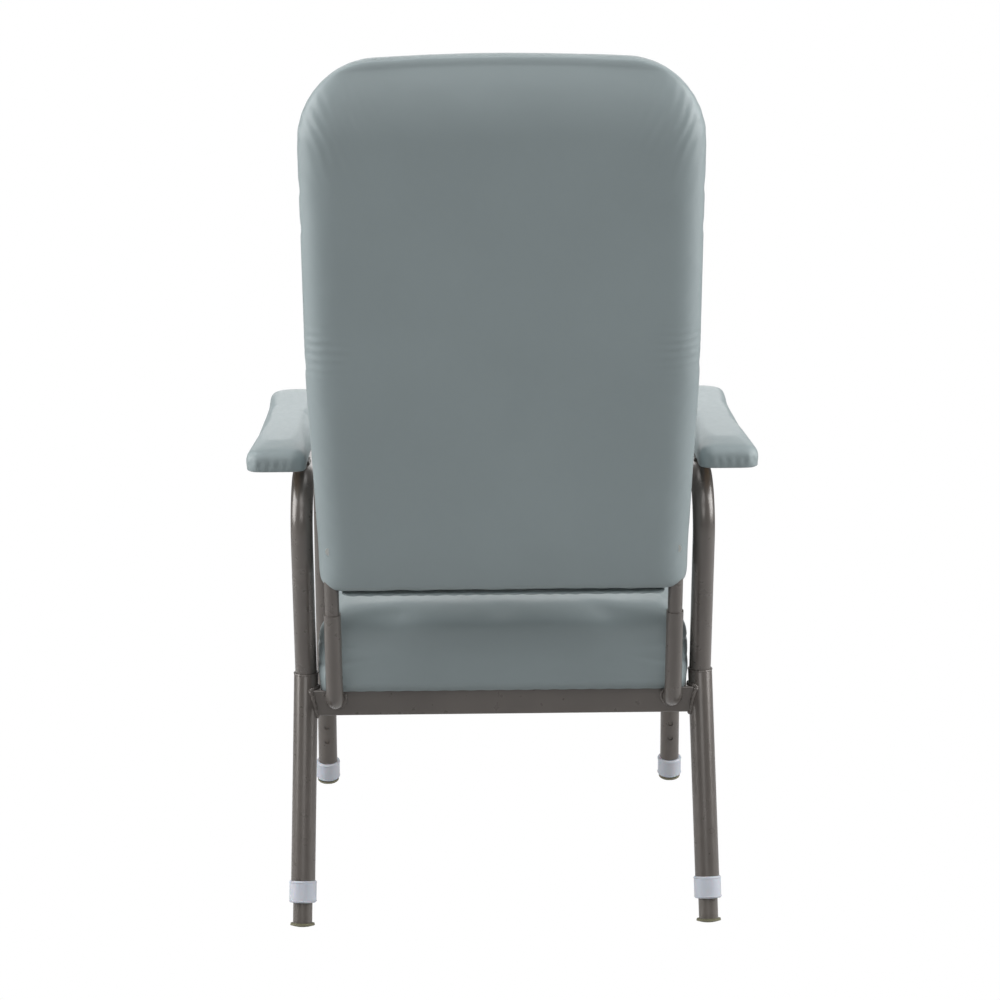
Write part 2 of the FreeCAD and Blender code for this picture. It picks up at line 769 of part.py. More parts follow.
def seat_board():
    """Plywood under the seat foam, bored for its bolts and nuts."""
    body = new_body("seat_board_sheet")
    half = "<seat_half> - <seat_board_inset>"
    near, far = "-<seat_board_inset>", "-<seat_length> + <seat_board_inset>"
    corners = [(f"-({half})", near), (half, near), (half, far), (f"-({half})", far)]
    rounded_block(body, corners, "<board_thickness>", "<seat_board_corner>")
    body.Placement = seat_placement()
    holes = []
    for word, side in SIDES:
        for k, place in enumerate(SEAT_BOLT_PLACES):
            spot = seat_placement(side * size("rail_half"), -place, -size("through") / 2)
            holes.append(cylinder(f"seat_board_{word}{k}", "<nut_barrel_radius>", "<through>", spot))
    return node(cut("seat_board", body, holes), "seat_board")


def seat_cushion():
    """Foam and vinyl over the board, wrapped down past the board's edges."""
    body = new_body("seat_cushion_block")
    corners = [("-<seat_half>", "0"), ("<seat_half>", "0"), ("<seat_half>", "-<seat_length>"),
               ("-<seat_half>", "-<seat_length>")]
    rounded_block(body, corners, "<seat_thickness>", "<seat_corner>")
    round_edges(body, in_plane("Z", size("seat_thickness")), "<seat_top_edge>")
    round_edges(body, in_plane("Z", 0.0), "<seat_bottom_edge>")
    half = "<seat_half> - <seat_board_inset>"
    near, far = "-<seat_board_inset>", "-<seat_length> + <seat_board_inset>"
    recess = Outline(body, "XY_Plane", "Recess")
    recess.polygon([(f"-({half})", near), (half, near), (half, far), (f"-({half})", far)])
    pocket(body, recess, "<board_thickness> + <board_hollow>", backwards=True)
    body.Placement = seat_placement()
    return node(body, "seat_cushion")


def bolt(name, placement, length):
    """A pan-headed bolt: its head starts at the placement and its shank runs along local Z."""
    head = cylinder(name + "_head", "<bolt_head_radius>", "<bolt_head>", placement)
    shank = cylinder(name + "_shank", "<bolt_radius>", length, placement)
    return fuse(name, [head, shank])


def tee_nut(name, placement):
    """A flanged nut: its flange starts at the placement and its barrel runs along local Z."""
    flange = cylinder(name + "_flange", "<nut_flange_radius>", "<nut_flange>", placement)
    barrel = cylinder(name + "_barrel", "<nut_barrel_radius>", "<nut_flange> + <nut_barrel>", placement)
    whole = fuse(name + "_whole", [flange, barrel])
    doc.recompute()
    inner = placement.multiply(Placement(Vector(0, 0, -size("through") / 2), Rotation()))
    return cut(name, whole, [cylinder(name + "_thread", "<bolt_radius>", "<through>", inner)])


def seat_fasteners():
    """Bolts up through the rails into flanged nuts on top of the seat board."""
    bolts, nuts = [], []
    for word, side in SIDES:
        for k, place in enumerate(SEAT_BOLT_PLACES):
            x = side * size("rail_half")
            low = -size("rail_height") * math.cos(math.radians(size("seat_tilt_degrees")))
            low -= size("bolt_head")
            under = seat_placement(x, -place, low)
            bolts.append(bolt(f"seat_bolt_{word}{k}", under, "<rail_height> + <bolt_head> + <board_thickness>"))
            top = seat_placement(x, -place, size("board_thickness") + size("nut_flange"))
            nuts.append(tee_nut(f"seat_nut_{word}{k}", turned(top, Vector(1, 0, 0), 180)))
    node(group("seat_bolts", bolts), "seat_bolts")
    node(group("seat_tee_nuts", nuts), "seat_tee_nuts")


# ---------------------------------------------------------------- armrests


def arm_tabs(label, side):
    """Two flat steel tabs welded across the top of the arm tube."""
    tabs = []
    for k, place in enumerate(TAB_PLACES):
        low = -size("tab_inner") if side > 0 else -size("tab_outer")
        spot = arm_placement(side).multiply(
            Placement(Vector(low, -place - size("tab_width") / 2, -size("tab_thickness")), Rotation()))
        plate = block(f"{label}_plate{k}", "<tab_inner> + <tab_outer>", "<tab_width>", "<tab_thickness>", spot)
        holes = []
        for n, x in enumerate(ARM_SCREW_PLACES):
            spot = arm_placement(side, x, -place, -size("through") / 2)
            holes.append(cylinder(f"{label}_hole{k}{n}", "<bolt_clearance>", "<through>", spot))
        doc.recompute()
        tabs.append(cut(f"{label}_tab{k}", plate, holes))
    return node(group(label, tabs), label)


def arm_board(label, side):
    """Plywood inside an armrest, with pilot holes for its screws."""
    body = new_body(label + "_sheet")
    half = "<pad_half> - <pad_board_inset>"
    near, far = "-<pad_board_inset>", "-<pad_length> + <pad_board_inset>"
    corners = [(f"-({half})", near), (half, near), (half, far), (f"-({half})", far)]
    rounded_block(body, corners, "<board_thickness>", "<pad_board_corner>")
    body.Placement = arm_placement(side)
    holes = []
    for k, place in enumerate(TAB_PLACES):
        for n, x in enumerate(ARM_SCREW_PLACES):
            spot = arm_placement(side, x, -place, 0.0)
            holes.append(cylinder(f"{label}_pilot{k}{n}", "<bolt_radius>", "<screw_pilot>", spot))
    return node(cut(label, body, holes), label)


def arm_pad(label, side):
    """Foam and vinyl over the arm board, wrapped down past the board's edges."""
    body = new_body(label)
    corners = [("-<pad_half>", "0"), ("<pad_half>", "0"), ("<pad_half>", "-<pad_length>"),
               ("-<pad_half>", "-<pad_length>")]
    rounded_block(body, corners, "<pad_thickness>", "<pad_corner>")
    round_edges(body, in_plane("Z", size("pad_thickness")), "<pad_top_edge>")
    round_edges(body, in_plane("Z", 0.0), "<pad_bottom_edge>")
    half = "<pad_half> - <pad_board_inset>"
    near, far = "-<pad_board_inset>", "-<pad_length> + <pad_board_inset>"
    recess = Outline(body, "XY_Plane", "Recess")
    recess.polygon([(f"-({half})", near), (half, near), (half, far), (f"-({half})", far)])
    pocket(body, recess, "<board_thickness>", backwards=True)
    body.Placement = arm_placement(side)
    return node(body, label)


def arm_screws(label, side):
    """Four pan-headed screws up through the tabs into the arm board."""
    screws = []
    for k, place in enumerate(TAB_PLACES):
        for n, x in enumerate(ARM_SCREW_PLACES):
            low = -size("tab_thickness") - size("bolt_head")
            spot = arm_placement(side, x, -place, low)
            screws.append(bolt(f"{label}_{k}{n}", spot, "<tab_thickness> + <bolt_head> + <screw_bite>"))
    return node(group(label, screws), label)


# ---------------------------------------------------------------- backrest


def back_post(label, side):
    """A straight post, from inside its socket to the bolts inside the backrest."""
    body = new_body(label + "_tube")
    ring = Outline(body, "XY_Plane", "Ring")
    ring.circle("0", "0", "<post_tube> / 2")
    ring.circle("0", "0", "<post_tube> / 2 - <post_wall>")
    pad(body, ring, "<post_below> + <post_inside>")
    body.Placement = back_placement(side * size("post_half"), 0.0, -size("post_below"))
    holes = []
    for k, height in enumerate(BACK_BOLT_HEIGHTS):
        spot = turned(back_placement(side * size("post_half"), size("through") / 2, height),
                      Vector(1, 0, 0), 90)
        holes.append(cylinder(f"{label}_hole{k}", "<bolt_clearance>", "<through>", spot))
    return node(cut(label, body, holes), label)


def back_outline(body, inset):
    """The backrest's outline in its own XZ plane, less an inset all round."""
    low, top = f"{inset}", f"<back_length> - <back_crown> - {inset}"
    foot_half, half = f"<back_bottom_half> - {inset}", f"<back_half> - {inset}"
    outline = Outline(body, "XZ_Plane", "Outline")
    crown_x, crown_z = number(half), number(top)
    peak = Vector(0, crown_z + size("back_crown"), 0)
    points = [Vector(-number(half), crown_z, 0), Vector(-number(half), size("back_taper_height"), 0),
              Vector(-number(foot_half), number(low), 0), Vector(number(foot_half), number(low), 0),
              Vector(number(half), size("back_taper_height"), 0), Vector(crown_x, crown_z, 0)]
    lines = [Part.LineSegment(p, q) for p, q in zip(points, points[1:])]
    outline.sketch.addGeometry(lines, False)
    arc = outline.sketch.addGeometry(Part.Arc(points[-1], peak, points[0]), False)
    for k in range(4):
        outline.sketch.addConstraint(Sketcher.Constraint("Coincident", k, 2, k + 1, 1))
    places = [(f"-({half})", top), (f"-({half})", "<back_taper_height>"), (f"-({foot_half})", low),
              (foot_half, low), (half, "<back_taper_height>")]
    for k, (across, up) in enumerate(places):
        outline.place(k, 1, across, up)
    outline.place(4, 2, half, top)
    outline.sketch.addConstraint(Sketcher.Constraint("Coincident", arc, 1, 4, 2))
    outline.sketch.addConstraint(Sketcher.Constraint("Coincident", arc, 2, 0, 1))
    sagitta = f"(({half}) * ({half}) + <back_crown> * <back_crown>) / (2 * <back_crown>)"
    outline.bound("Radius", arc, to=sagitta)
    return outline


def through_back(edge):
    """True for an edge that runs straight through the backrest's thickness."""
    bounds = edge.BoundBox
    return bounds.YLength > 1.0 and bounds.XLength < 0.01 and bounds.ZLength < 0.01


def back_top_corner(edge):
    return through_back(edge) and edge.BoundBox.ZMin > 0.75 * size("back_length")


def back_low_corner(edge):
    return through_back(edge) and edge.BoundBox.ZMin < 0.25 * size("back_length")


def back_slab(body, inset, thickness, offset, rear_edge=None, front_edge=None):
    """A slab of the backrest's outline, from an offset to the rear, running forward."""
    outline = back_outline(body, inset)
    outline.sketch.AttachmentOffset = Placement(Vector(0, 0, -offset), Rotation())
    pad(body, outline, thickness)
    deep = number(thickness)
    round_edges(body, back_top_corner, f"<back_corner> - {inset}")
    round_edges(body, back_low_corner, f"<back_bottom_corner> - {inset} / 3")
    if rear_edge:
        round_edges(body, in_plane("Y", offset), rear_edge)
    if front_edge:
        round_edges(body, in_plane("Y", offset - deep), front_edge)


def back_board():
    """Plywood in the middle of the backrest, bored for its bolts and nuts."""
    body = new_body("back_board_sheet")
    back_slab(body, "<back_board_inset>", "<board_thickness>", -size("back_split"))
    body.Placement = back_placement()
    holes = []
    for word, side in SIDES:
        for k, height in enumerate(BACK_BOLT_HEIGHTS):
            spot = turned(back_placement(side * size("post_half"), 0.0, height), Vector(1, 0, 0), 90)
            holes.append(cylinder(f"back_board_{word}{k}", "<nut_barrel_radius>", "<through>", spot))
    return node(cut("back_board", body, holes), "back_board")


def back_rear_pad():
    """Foam and vinyl behind the board, grooved for the two posts."""
    body = new_body("back_rear_pad_slab")
    back_slab(body, "0", "<back_rear> + <back_split>", size("back_rear"), rear_edge="<back_rear_edge>")
    body.Placement = back_placement()
    grooves = []
    for word, side in SIDES:
        margin = size("post_groove_end")
        spot = back_placement(side * size("post_half") - size("post_tube") / 2 - size("post_groove_gap"),
                              -size("back_split") - margin, -margin)
        grooves.append(block(f"groove_{word}", "<post_tube> + 2 * <post_groove_gap>",
                             "<back_split> + <post_tube> / 2 + <bolt_head> + 2 * <post_groove_end>",
                             "<post_inside> + 2 * <post_groove_end>", spot))
    return node(cut("back_rear_pad", body, grooves), "back_rear_pad")


def back_front_cushion():
    """Foam and vinyl in front of the board, with a recess for the board."""
    body = new_body("back_front_cushion_slab")
    back_slab(body, "0", "<back_front> - <back_split>", -size("back_split"), front_edge="<back_front_edge>")
    body.Placement = back_placement()
    recess = new_body("back_recess")
    back_slab(recess, "<back_board_inset>", "<board_thickness> + <board_hollow>", -size("back_split"))
    recess.Placement = back_placement()
    return node(cut("back_front_cushion", body, [recess]), "back_front_cushion")


def back_closing_strip():
    """A covered strip under the backrest, between the posts, that closes its cover."""
    body = new_body("back_closing_strip")
    outline = Outline(body, "XY_Plane", "Outline")
    half, near = "<strip_half>", "<strip_depth> / 2"
    outline.polygon([(f"-{half}", f"-{near}"), (half, f"-{near}"), (half, near), (f"-{half}", near)])
    pad(body, outline, "<strip_thickness>", backwards=True)
    round_edges(body, along_z, "<strip_corner>")
    body.Placement = back_placement()
    return node(body, "back_closing_strip")


def back_fasteners():
    """Bolts from the rear through each post into flanged nuts on the front of the board."""
    bolts, nuts = [], []
    for word, side in SIDES:
        for k, height in enumerate(BACK_BOLT_HEIGHTS):
            x = side * size("post_half")
            rear = turned(back_placement(x, size("post_tube") / 2 + size("bolt_head"), height),
                          Vector(1, 0, 0), 90)
            bolts.append(bolt(f"back_bolt_{word}{k}", rear,
                              "<post_tube> + <bolt_head> + <board_thickness>"))
            board_front = size("back_split") + size("board_thickness")
            front = back_placement(x, -board_front - size("nut_flange"), height)
            nuts.append(tee_nut(f"back_nut_{word}{k}", turned(front, Vector(1, 0, 0), -90)))
    node(group("back_bolts", bolts), "back_bolts")
    node(group("back_tee_nuts", nuts), "back_tee_nuts")


# ---------------------------------------------------------------- assembly


def build():
    _, rear_bar_y = crossbar("rear_crossbar", "rear", size("rear_bar_bottom"), "<leg_tube> / 2")
    _, front_bar_y = crossbar("front_crossbar", "front", size("front_bar_bottom"), "<frame_tube> / 2")
    half = size("bar_depth") / 2
    for word, side in SIDES:
        side_frame(f"{word}_side_frame", side)
        rear_leg(f"{word}_rear_leg", side)
        seat_rail(f"{word}_seat_rail", side, rear_bar_y - half, front_bar_y + half)
        back_socket(f"{word}_back_socket", side, rear_bar_y + half)
        arm_tabs(f"{word}_arm_tabs", side)
        arm_board(f"{word}_arm_board", side)
        arm_pad(f"{word}_arm_pad", side)
        arm_screws(f"{word}_arm_screws", side)
        back_post(f"{word}_back_post", side)
        guide_bush(f"rear_{word}_guide_bush", side)
        for which in ("front", "rear"):
            name = f"{which}_{word}"
            collar(f"{name}_collar", side, which)
            extension(f"{name}_extension", side, which)
            foot(f"{name}_foot", side, which)
            spring_clip(f"{name}_spring_clip", side, which)
            snap_button(f"{name}_snap_button", side, which)
    seat_board()
    seat_cushion()
    seat_fasteners()
    back_board()
    back_rear_pad()
    back_front_cushion()
    back_closing_strip()
    back_fasteners()


def check_and_write():
    """Stops on any failed object or bad shape, then writes one STEP file for each sub-part."""
    doc.recompute()
    bad = [f"{o.Label}: {o.State}" for o in doc.Objects if {"Invalid", "Error"} & set(o.State)]
    for feature in parts:
        shape = feature.Shape
        if shape.isNull() or not shape.isValid() or not shape.Solids:
            bad.append(f"{feature.Label}: bad shape")
    if bad:
        sys.exit("\n".join(bad))
    os.makedirs("parts", exist_ok=True)
    for feature in parts:
        feature.Shape.exportStep(f"parts/{feature.Label}.step")
    whole = Part.makeCompound([feature.Shape for feature in parts]).BoundBox
    print(f"{len(parts)} sub-parts")
    print(f"x {whole.XMin:.1f} {whole.XMax:.1f}  y {whole.YMin:.1f} {whole.YMax:.1f}  "
          f"z {whole.ZMin:.1f} {whole.ZMax:.1f}")


build()
check_and_write()
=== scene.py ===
"""Looks for the high-back patient chair: vinyl upholstery, painted tube, welds, collars and feet.

Lengths are in metres in the CAD model's frame: +Z up, the sitter faces -Y, +X is the sitter's left.
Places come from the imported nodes' boxes and the record's joints; only small details, the covers'
roundings and the tube and collar radii have sizes here.
"""

import json
import math
import random

import bmesh
import bpy
from mathutils import Matrix, Quaternion, Vector, noise

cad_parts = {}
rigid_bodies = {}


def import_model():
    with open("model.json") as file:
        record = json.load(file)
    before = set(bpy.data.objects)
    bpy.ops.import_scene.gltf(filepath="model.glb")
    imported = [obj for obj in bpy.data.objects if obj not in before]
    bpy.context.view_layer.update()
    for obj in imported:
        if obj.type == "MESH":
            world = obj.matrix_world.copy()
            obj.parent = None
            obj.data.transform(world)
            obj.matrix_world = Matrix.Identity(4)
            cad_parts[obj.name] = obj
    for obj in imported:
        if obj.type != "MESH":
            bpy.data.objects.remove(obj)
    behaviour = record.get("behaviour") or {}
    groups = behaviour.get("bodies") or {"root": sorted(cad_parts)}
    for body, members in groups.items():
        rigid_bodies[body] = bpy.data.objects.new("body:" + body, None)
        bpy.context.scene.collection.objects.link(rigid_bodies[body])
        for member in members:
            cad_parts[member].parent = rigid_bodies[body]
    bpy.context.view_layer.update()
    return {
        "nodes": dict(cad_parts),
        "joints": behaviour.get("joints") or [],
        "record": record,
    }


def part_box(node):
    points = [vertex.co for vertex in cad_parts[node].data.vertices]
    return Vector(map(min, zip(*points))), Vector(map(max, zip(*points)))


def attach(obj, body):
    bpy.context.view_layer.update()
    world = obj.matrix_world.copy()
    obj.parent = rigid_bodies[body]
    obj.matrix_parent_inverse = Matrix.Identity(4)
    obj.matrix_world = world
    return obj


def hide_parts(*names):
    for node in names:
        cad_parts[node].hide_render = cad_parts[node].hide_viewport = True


for leftover in list(bpy.data.objects):
    bpy.data.objects.remove(leftover)
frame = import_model()
NODES = frame["nodes"]
JOINTS = {joint["name"]: joint for joint in frame["joints"]}
SIDES = (("left", 1), ("right", -1))
ENDS = ("front", "rear")

# ---------------------------------------------------------------- places read from the frame

BACK_UP = Vector(JOINTS["backrest_lift"]["axis"]).normalized()
BACK_OUT = Vector((0, BACK_UP.z, -BACK_UP.y))
FRAME_RADIUS = 0.0143
LEG_RADIUS = 0.0159
COLLAR_HALF = 0.01425
COLLAR_RADIUS = 0.0178


def mid(low, high):
    return (low + high) / 2


# ---------------------------------------------------------------- material helpers


class Shader:
    """A material's node tree, with short calls for the nodes that the materials share."""

    def __init__(self, name):
        self.material = bpy.data.materials.new(name)
        self.material.use_nodes = True
        self.tree = self.material.node_tree
        self.surface = self.tree.nodes["Principled BSDF"]
        self.place = self.add("ShaderNodeTexCoord").outputs["Object"]

    def add(self, kind, **settings):
        made = self.tree.nodes.new(kind)
        for key, value in settings.items():
            setattr(made, key, value)
        return made

    def link(self, source, target):
        self.tree.links.new(source, target)

    def drive(self, socket, source):
        """Links a source to one of the surface's sockets."""
        self.link(source, self.surface.inputs[socket])

    def fixed(self, **values):
        """Sets constant sockets of the surface by name, with _ for a space."""
        for key, value in values.items():
            self.surface.inputs[key.replace("_", " ")].default_value = value

    def noise(self, scale, detail=2.0, roughness=0.5, stretch=None):
        made = self.add("ShaderNodeTexNoise")
        made.inputs["Scale"].default_value = scale
        made.inputs["Detail"].default_value = detail
        made.inputs["Roughness"].default_value = roughness
        self.link(self.scaled(stretch), made.inputs["Vector"])
        return made.outputs["Fac"]

    def scaled(self, stretch):
        if stretch is None:
            return self.place
        mapping = self.add("ShaderNodeMapping")
        mapping.inputs["Scale"].default_value = stretch
        self.link(self.place, mapping.inputs["Vector"])
        return mapping.outputs["Vector"]

    def cells(self, scale, feature="DISTANCE_TO_EDGE", warp=0.0, stretch=None):
        """Voronoi cells, optionally warped by noise so that they look like pebbled leather."""
        made = self.add("ShaderNodeTexVoronoi", feature=feature)
        made.inputs["Scale"].default_value = scale
        source = self.scaled(stretch)
        if warp:
            bend = self.add("ShaderNodeTexNoise")
            bend.inputs["Scale"].default_value = scale * 0.6
            self.link(source, bend.inputs["Vector"])
            mixed = self.add("ShaderNodeMix", data_type="VECTOR")
            mixed.inputs["Factor"].default_value = warp
            self.link(source, mixed.inputs[4])
            self.link(bend.outputs["Color"], mixed.inputs[5])
            source = mixed.outputs[1]
        self.link(source, made.inputs["Vector"])
        return made.outputs["Distance"]

    def ramp(self, source, stops):
        made = self.add("ShaderNodeValToRGB")
        elements = made.color_ramp.elements
        while len(elements) < len(stops):
            elements.new(0.5)
        for element, (position, colour) in zip(elements, stops):
            element.position = position
            element.color = (*colour, 1.0) if len(colour) == 3 else colour
        self.link(source, made.inputs["Fac"])
        return made.outputs["Color"]

    def grey(self, source, low, high, to_low, to_high):
        made = self.add("ShaderNodeMapRange")
        for key, value in (("From Min", low), ("From Max", high),
                           ("To Min", to_low), ("To Max", to_high)):
            made.inputs[key].default_value = value
        self.link(source, made.inputs["Value"])
        return made.outputs["Result"]

    def add_up(self, first, second, weight=1.0):
        scaled = self.add("ShaderNodeMath", operation="MULTIPLY_ADD")
        self.link(second, scaled.inputs[0])
        scaled.inputs[1].default_value = weight
        self.link(first, scaled.inputs[2])
        return scaled.outputs[0]

    def mix(self, factor, first, second):
        """Mixes two colours, each a socket or a constant."""
        made = self.add("ShaderNodeMix", data_type="RGBA")
        self.link(factor, made.inputs["Factor"])
        for value, socket in ((first, made.inputs[6]), (second, made.inputs[7])):
            if isinstance(value, tuple):
                socket.default_value = (*value, 1.0)
            else:
                self.link(value, socket)
        return made.outputs[2]

    def bump(self, height, strength, distance, below=None):
        made = self.add("ShaderNodeBump")
        made.inputs["Strength"].default_value = strength
        made.inputs["Distance"].default_value = distance
        self.link(height, made.inputs["Height"])
        if below:
            self.link(below, made.inputs["Normal"])
        return made.outputs["Normal"]

    def worn_edge(self, low=0.5, high=0.56):
        """1 where the surface is sharply convex, 0 elsewhere."""
        point = self.add("ShaderNodeNewGeometry").outputs["Pointiness"]
        return self.grey(point, low, high, 0.0, 1.0)


def linear(*srgb):
    """A linear colour from 0-255 sRGB values."""
    return tuple((c / 255 / 12.92) if c <= 10 else ((c / 255 + 0.055) / 1.055) ** 2.4 for c in srgb)


def shade(colour, share):
    """The colour, lighter or darker by a share."""
    return tuple(min(1.0, c * share) for c in colour)


VINYL = linear(129, 140, 142)


def vinyl():
    """Grey-blue upholstery vinyl: pebbled grain with painted shade in its valleys, fine creases,
    soft broad gloss.
    """
    shader = Shader("vinyl")
    broad = shader.noise(5.0, 3.0)
    fine = shader.noise(160.0, 2.0)
    colour = shader.ramp(broad, [(0.3, shade(VINYL, 0.95)), (0.7, shade(VINYL, 1.04))])
    # Painted shade: the pebble grain's valleys are darkened in the base colour.
    pebble = shader.cells(620.0, warp=0.06)
    valley = shader.grey(pebble, 0.0, 0.12, 0.0, 1.0)
    colour = shader.mix(valley, shade(VINYL, 0.88), colour)
    shader.drive("Base Color", colour)
    rough = shader.add_up(shader.grey(fine, 0.3, 0.7, 0.42, 0.50), valley, -0.04)
    shader.drive("Roughness", rough)
    creases = shader.noise(26.0, 4.0, 0.62, stretch=(1.0, 1.0, 0.45))
    first = shader.bump(creases, 0.16, 0.0012)
    second = shader.bump(shader.cells(210.0, warp=0.12), 0.14, 0.0004, below=first)
    third = shader.bump(valley, 0.22, 0.00018, below=second)
    shader.drive("Normal", third)
    shader.fixed(Specular_IOR_Level=0.42, Sheen_Weight=0.08, Sheen_Roughness=0.5)
    return shader.material


def paint(name, srgb, flake=0.08):
    """Bronze-grey gloss powder coat with a fine metallic fleck and a slight orange peel."""
    shader = Shader(name)
    base = linear(*srgb)
    broad = shader.noise(9.0, 2.0)
    colour = shader.ramp(broad, [(0.3, shade(base, 0.9)), (0.7, shade(base, 1.08))])
    fleck = shader.grey(shader.noise(2600.0, 1.0), 0.55, 0.75, 0.0, flake)
    colour = shader.mix(fleck, colour, shade(base, 1.6))
    shader.drive("Base Color", colour)
    shader.drive("Roughness", shader.grey(shader.noise(70.0, 3.0), 0.3, 0.7, 0.26, 0.36))
    shader.drive("Normal", shader.bump(shader.noise(420.0, 1.5), 0.08, 0.0002))
    shader.fixed(Metallic=0.25, Coat_Weight=0.35, Coat_Roughness=0.2)
    return shader.material


def plastic(name, srgb, rough, subsurface=0.0):
    """Moulded plastic with faint flow marks and scuffed edges."""
    shader = Shader(name)
    base = linear(*srgb)
    flow = shader.noise(30.0, 3.0, 0.6, stretch=(1.0, 1.0, 3.0))
    colour = shader.ramp(flow, [(0.35, shade(base, 0.93)), (0.65, shade(base, 1.05))])
    shader.drive("Base Color", shader.mix(shader.worn_edge(), colour, shade(base, 1.15)))
    shader.drive("Roughness", shader.grey(flow, 0.3, 0.7, rough - 0.05, rough + 0.07))
    shader.drive("Normal", shader.bump(shader.noise(600.0, 2.0), 0.12, 0.0002))
    shader.fixed(Subsurface_Weight=subsurface, Subsurface_Scale=0.004)
    return shader.material


def rubber():
    """Olive-grey moulded rubber, dusty where it meets the floor."""
    shader = Shader("foot_rubber")
    base, dust = linear(98, 96, 74), linear(128, 126, 108)
    mottled = shader.noise(90.0, 4.0, 0.65)
    height = shader.add("ShaderNodeSeparateXYZ")
    shader.link(shader.place, height.inputs["Vector"])
    low = shader.grey(height.outputs["Z"], 0.0, 0.008, 0.6, 0.0)
    colour = shader.ramp(mottled, [(0.3, shade(base, 0.82)), (0.7, shade(base, 1.12))])
    shader.drive("Base Color", shader.mix(low, colour, dust))
    shader.drive("Roughness", shader.grey(mottled, 0.3, 0.7, 0.5, 0.72))
    shader.drive("Normal", shader.bump(shader.noise(800.0, 3.0), 0.2, 0.0003))
    return shader.material


def metal(name, srgb, rough, streak=(1.0, 1.0, 12.0)):
    """Bare plated or spring steel with drawn streaks."""
    shader = Shader(name)
    base = linear(*srgb)
    drawn = shader.noise(300.0, 3.0, 0.6, stretch=streak)
    shader.drive("Base Color", shader.ramp(drawn, [(0.3, shade(base, 0.85)), (0.7, base)]))
    shader.drive("Roughness", shader.grey(drawn, 0.3, 0.7, rough - 0.06, rough + 0.08))
    shader.drive("Normal", shader.bump(drawn, 0.06, 0.0002))
    shader.fixed(Metallic=1.0)
    return shader.material


def plywood():
    """Birch plywood: long grain on the faces."""
    shader = Shader("plywood")
    grain = shader.noise(40.0, 6.0, 0.6, stretch=(9.0, 1.0, 9.0))
    light, dark = linear(206, 174, 128), linear(164, 126, 82)
    shader.drive("Base Color", shader.ramp(grain, [(0.35, dark), (0.65, light)]))
    shader.drive("Roughness", shader.grey(grain, 0.3, 0.7, 0.6, 0.8))
    shader.drive("Normal", shader.bump(grain, 0.15, 0.0004))
    return shader.material


def thread():
    """Twisted polyester sewing thread, the vinyl's own colour."""
    shader = Shader("thread")
    twist = shader.cells(900.0, feature="F1")
    dark, light = linear(112, 128, 132), linear(158, 172, 176)
    shader.drive("Base Color", shader.ramp(twist, [(0.2, dark), (0.8, light)]))
    shader.drive("Roughness", shader.grey(twist, 0.0, 1.0, 0.5, 0.7))
    shader.drive("Normal", shader.bump(twist, 0.3, 0.0003))
    return shader.material


MATERIALS = {
    "frame_paint": paint("frame_paint", (92, 87, 83)),
    "extension_paint": paint("extension_paint", (96, 91, 86), flake=0.1),
    "collar_plastic": plastic("collar_plastic", (164, 168, 176), 0.34, subsurface=0.15),
    "bush_plastic": plastic("bush_plastic", (40, 40, 42), 0.4),
    "foot_rubber": rubber(),
    "spring_steel": metal("spring_steel", (205, 205, 202), 0.3),
    "fastener_steel": metal("fastener_steel", (188, 190, 188), 0.34, streak=(1.0, 1.0, 1.0)),
    "plywood": plywood(),
    "vinyl": vinyl(),
    "thread": thread(),
}


def dress_cad_nodes():
    """Every CAD node takes its slot's material."""
    slots = {row["node"]: row["material_slot"] for row in frame["record"]["subparts"]}
    for name, thing in NODES.items():
        thing.data.materials.clear()
        thing.data.materials.append(MATERIALS[slots[name]])


# ---------------------------------------------------------------- mesh helpers


def linked(name, data):
    """A new object in the scene."""
    made = bpy.data.objects.new(name, data)
    bpy.context.scene.collection.objects.link(made)
    return made


def baked(holder):
    """A holder's mesh with its modifiers applied; the holder goes."""
    view = bpy.context.evaluated_depsgraph_get()
    made = bpy.data.meshes.new_from_object(holder.evaluated_get(view))
    bpy.data.objects.remove(holder)
    return made


def new_piece(name, mesh, material, body):
    """A finished piece: smooth, in its material and on its body."""
    piece = linked(name, mesh)
    mesh.materials.clear()
    mesh.materials.append(MATERIALS[material])
    mesh.polygons.foreach_set("use_smooth", [True] * len(mesh.polygons))
    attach(piece, body)
    return piece


def mesh_from(build, name):
    """A mesh that a function fills in bmesh, with its normals outwards."""
    mesh = bpy.data.meshes.new(name)
    work = bmesh.new()
    build(work)
    bmesh.ops.recalc_face_normals(work, faces=work.faces)
    work.to_mesh(mesh)
    work.free()
    return mesh


def rings(work, loops, close_ends=True):
    """Joins successive closed loops of equally many points, and closes both ends."""
    made = [[work.verts.new(point) for point in loop] for loop in loops]
    count = len(made[0])
    for first, second in zip(made, made[1:]):
        for k in range(count):
            after = (k + 1) % count
            work.faces.new((first[k], first[after], second[after], second[k]))
    if close_ends:
        work.faces.new(made[0])
        work.faces.new(made[-1])


def tube(work, path, radius_at, sides=10, closed=False):
    """A round tube along a path of points, its radius given for each point."""
    loops = []
    count = len(path)
    side = None
    for k, point in enumerate(path):
        before = path[(k - 1) % count] if closed or k else path[0]
        after = path[(k + 1) % count] if closed or k < count - 1 else path[-1]
        along = (after - before).normalized()
        if side is None:
            side = along.orthogonal().normalized()
        side = (side - along * side.dot(along)).normalized()
        across = along.cross(side)
        radius = radius_at(k / max(1, count - 1))
        loops.append([point + (side * math.cos(a) + across * math.sin(a)) * radius
                      for a in (2 * math.pi * n / sides for n in range(sides))])
    made = [[work.verts.new(point) for point in loop] for loop in loops]
    spans = list(zip(made, made[1:])) + ([(made[-1], made[0])] if closed else [])
    for first, second in spans:
        for n in range(sides):
            m = (n + 1) % sides
            work.faces.new((first[n], first[m], second[m], second[n]))
    if not closed:
        work.faces.new(made[0])
        work.faces.new(made[-1])


def smoothstep(value):
    held = min(1.0, max(0.0, value))
    return held * held * (3 - 2 * held)


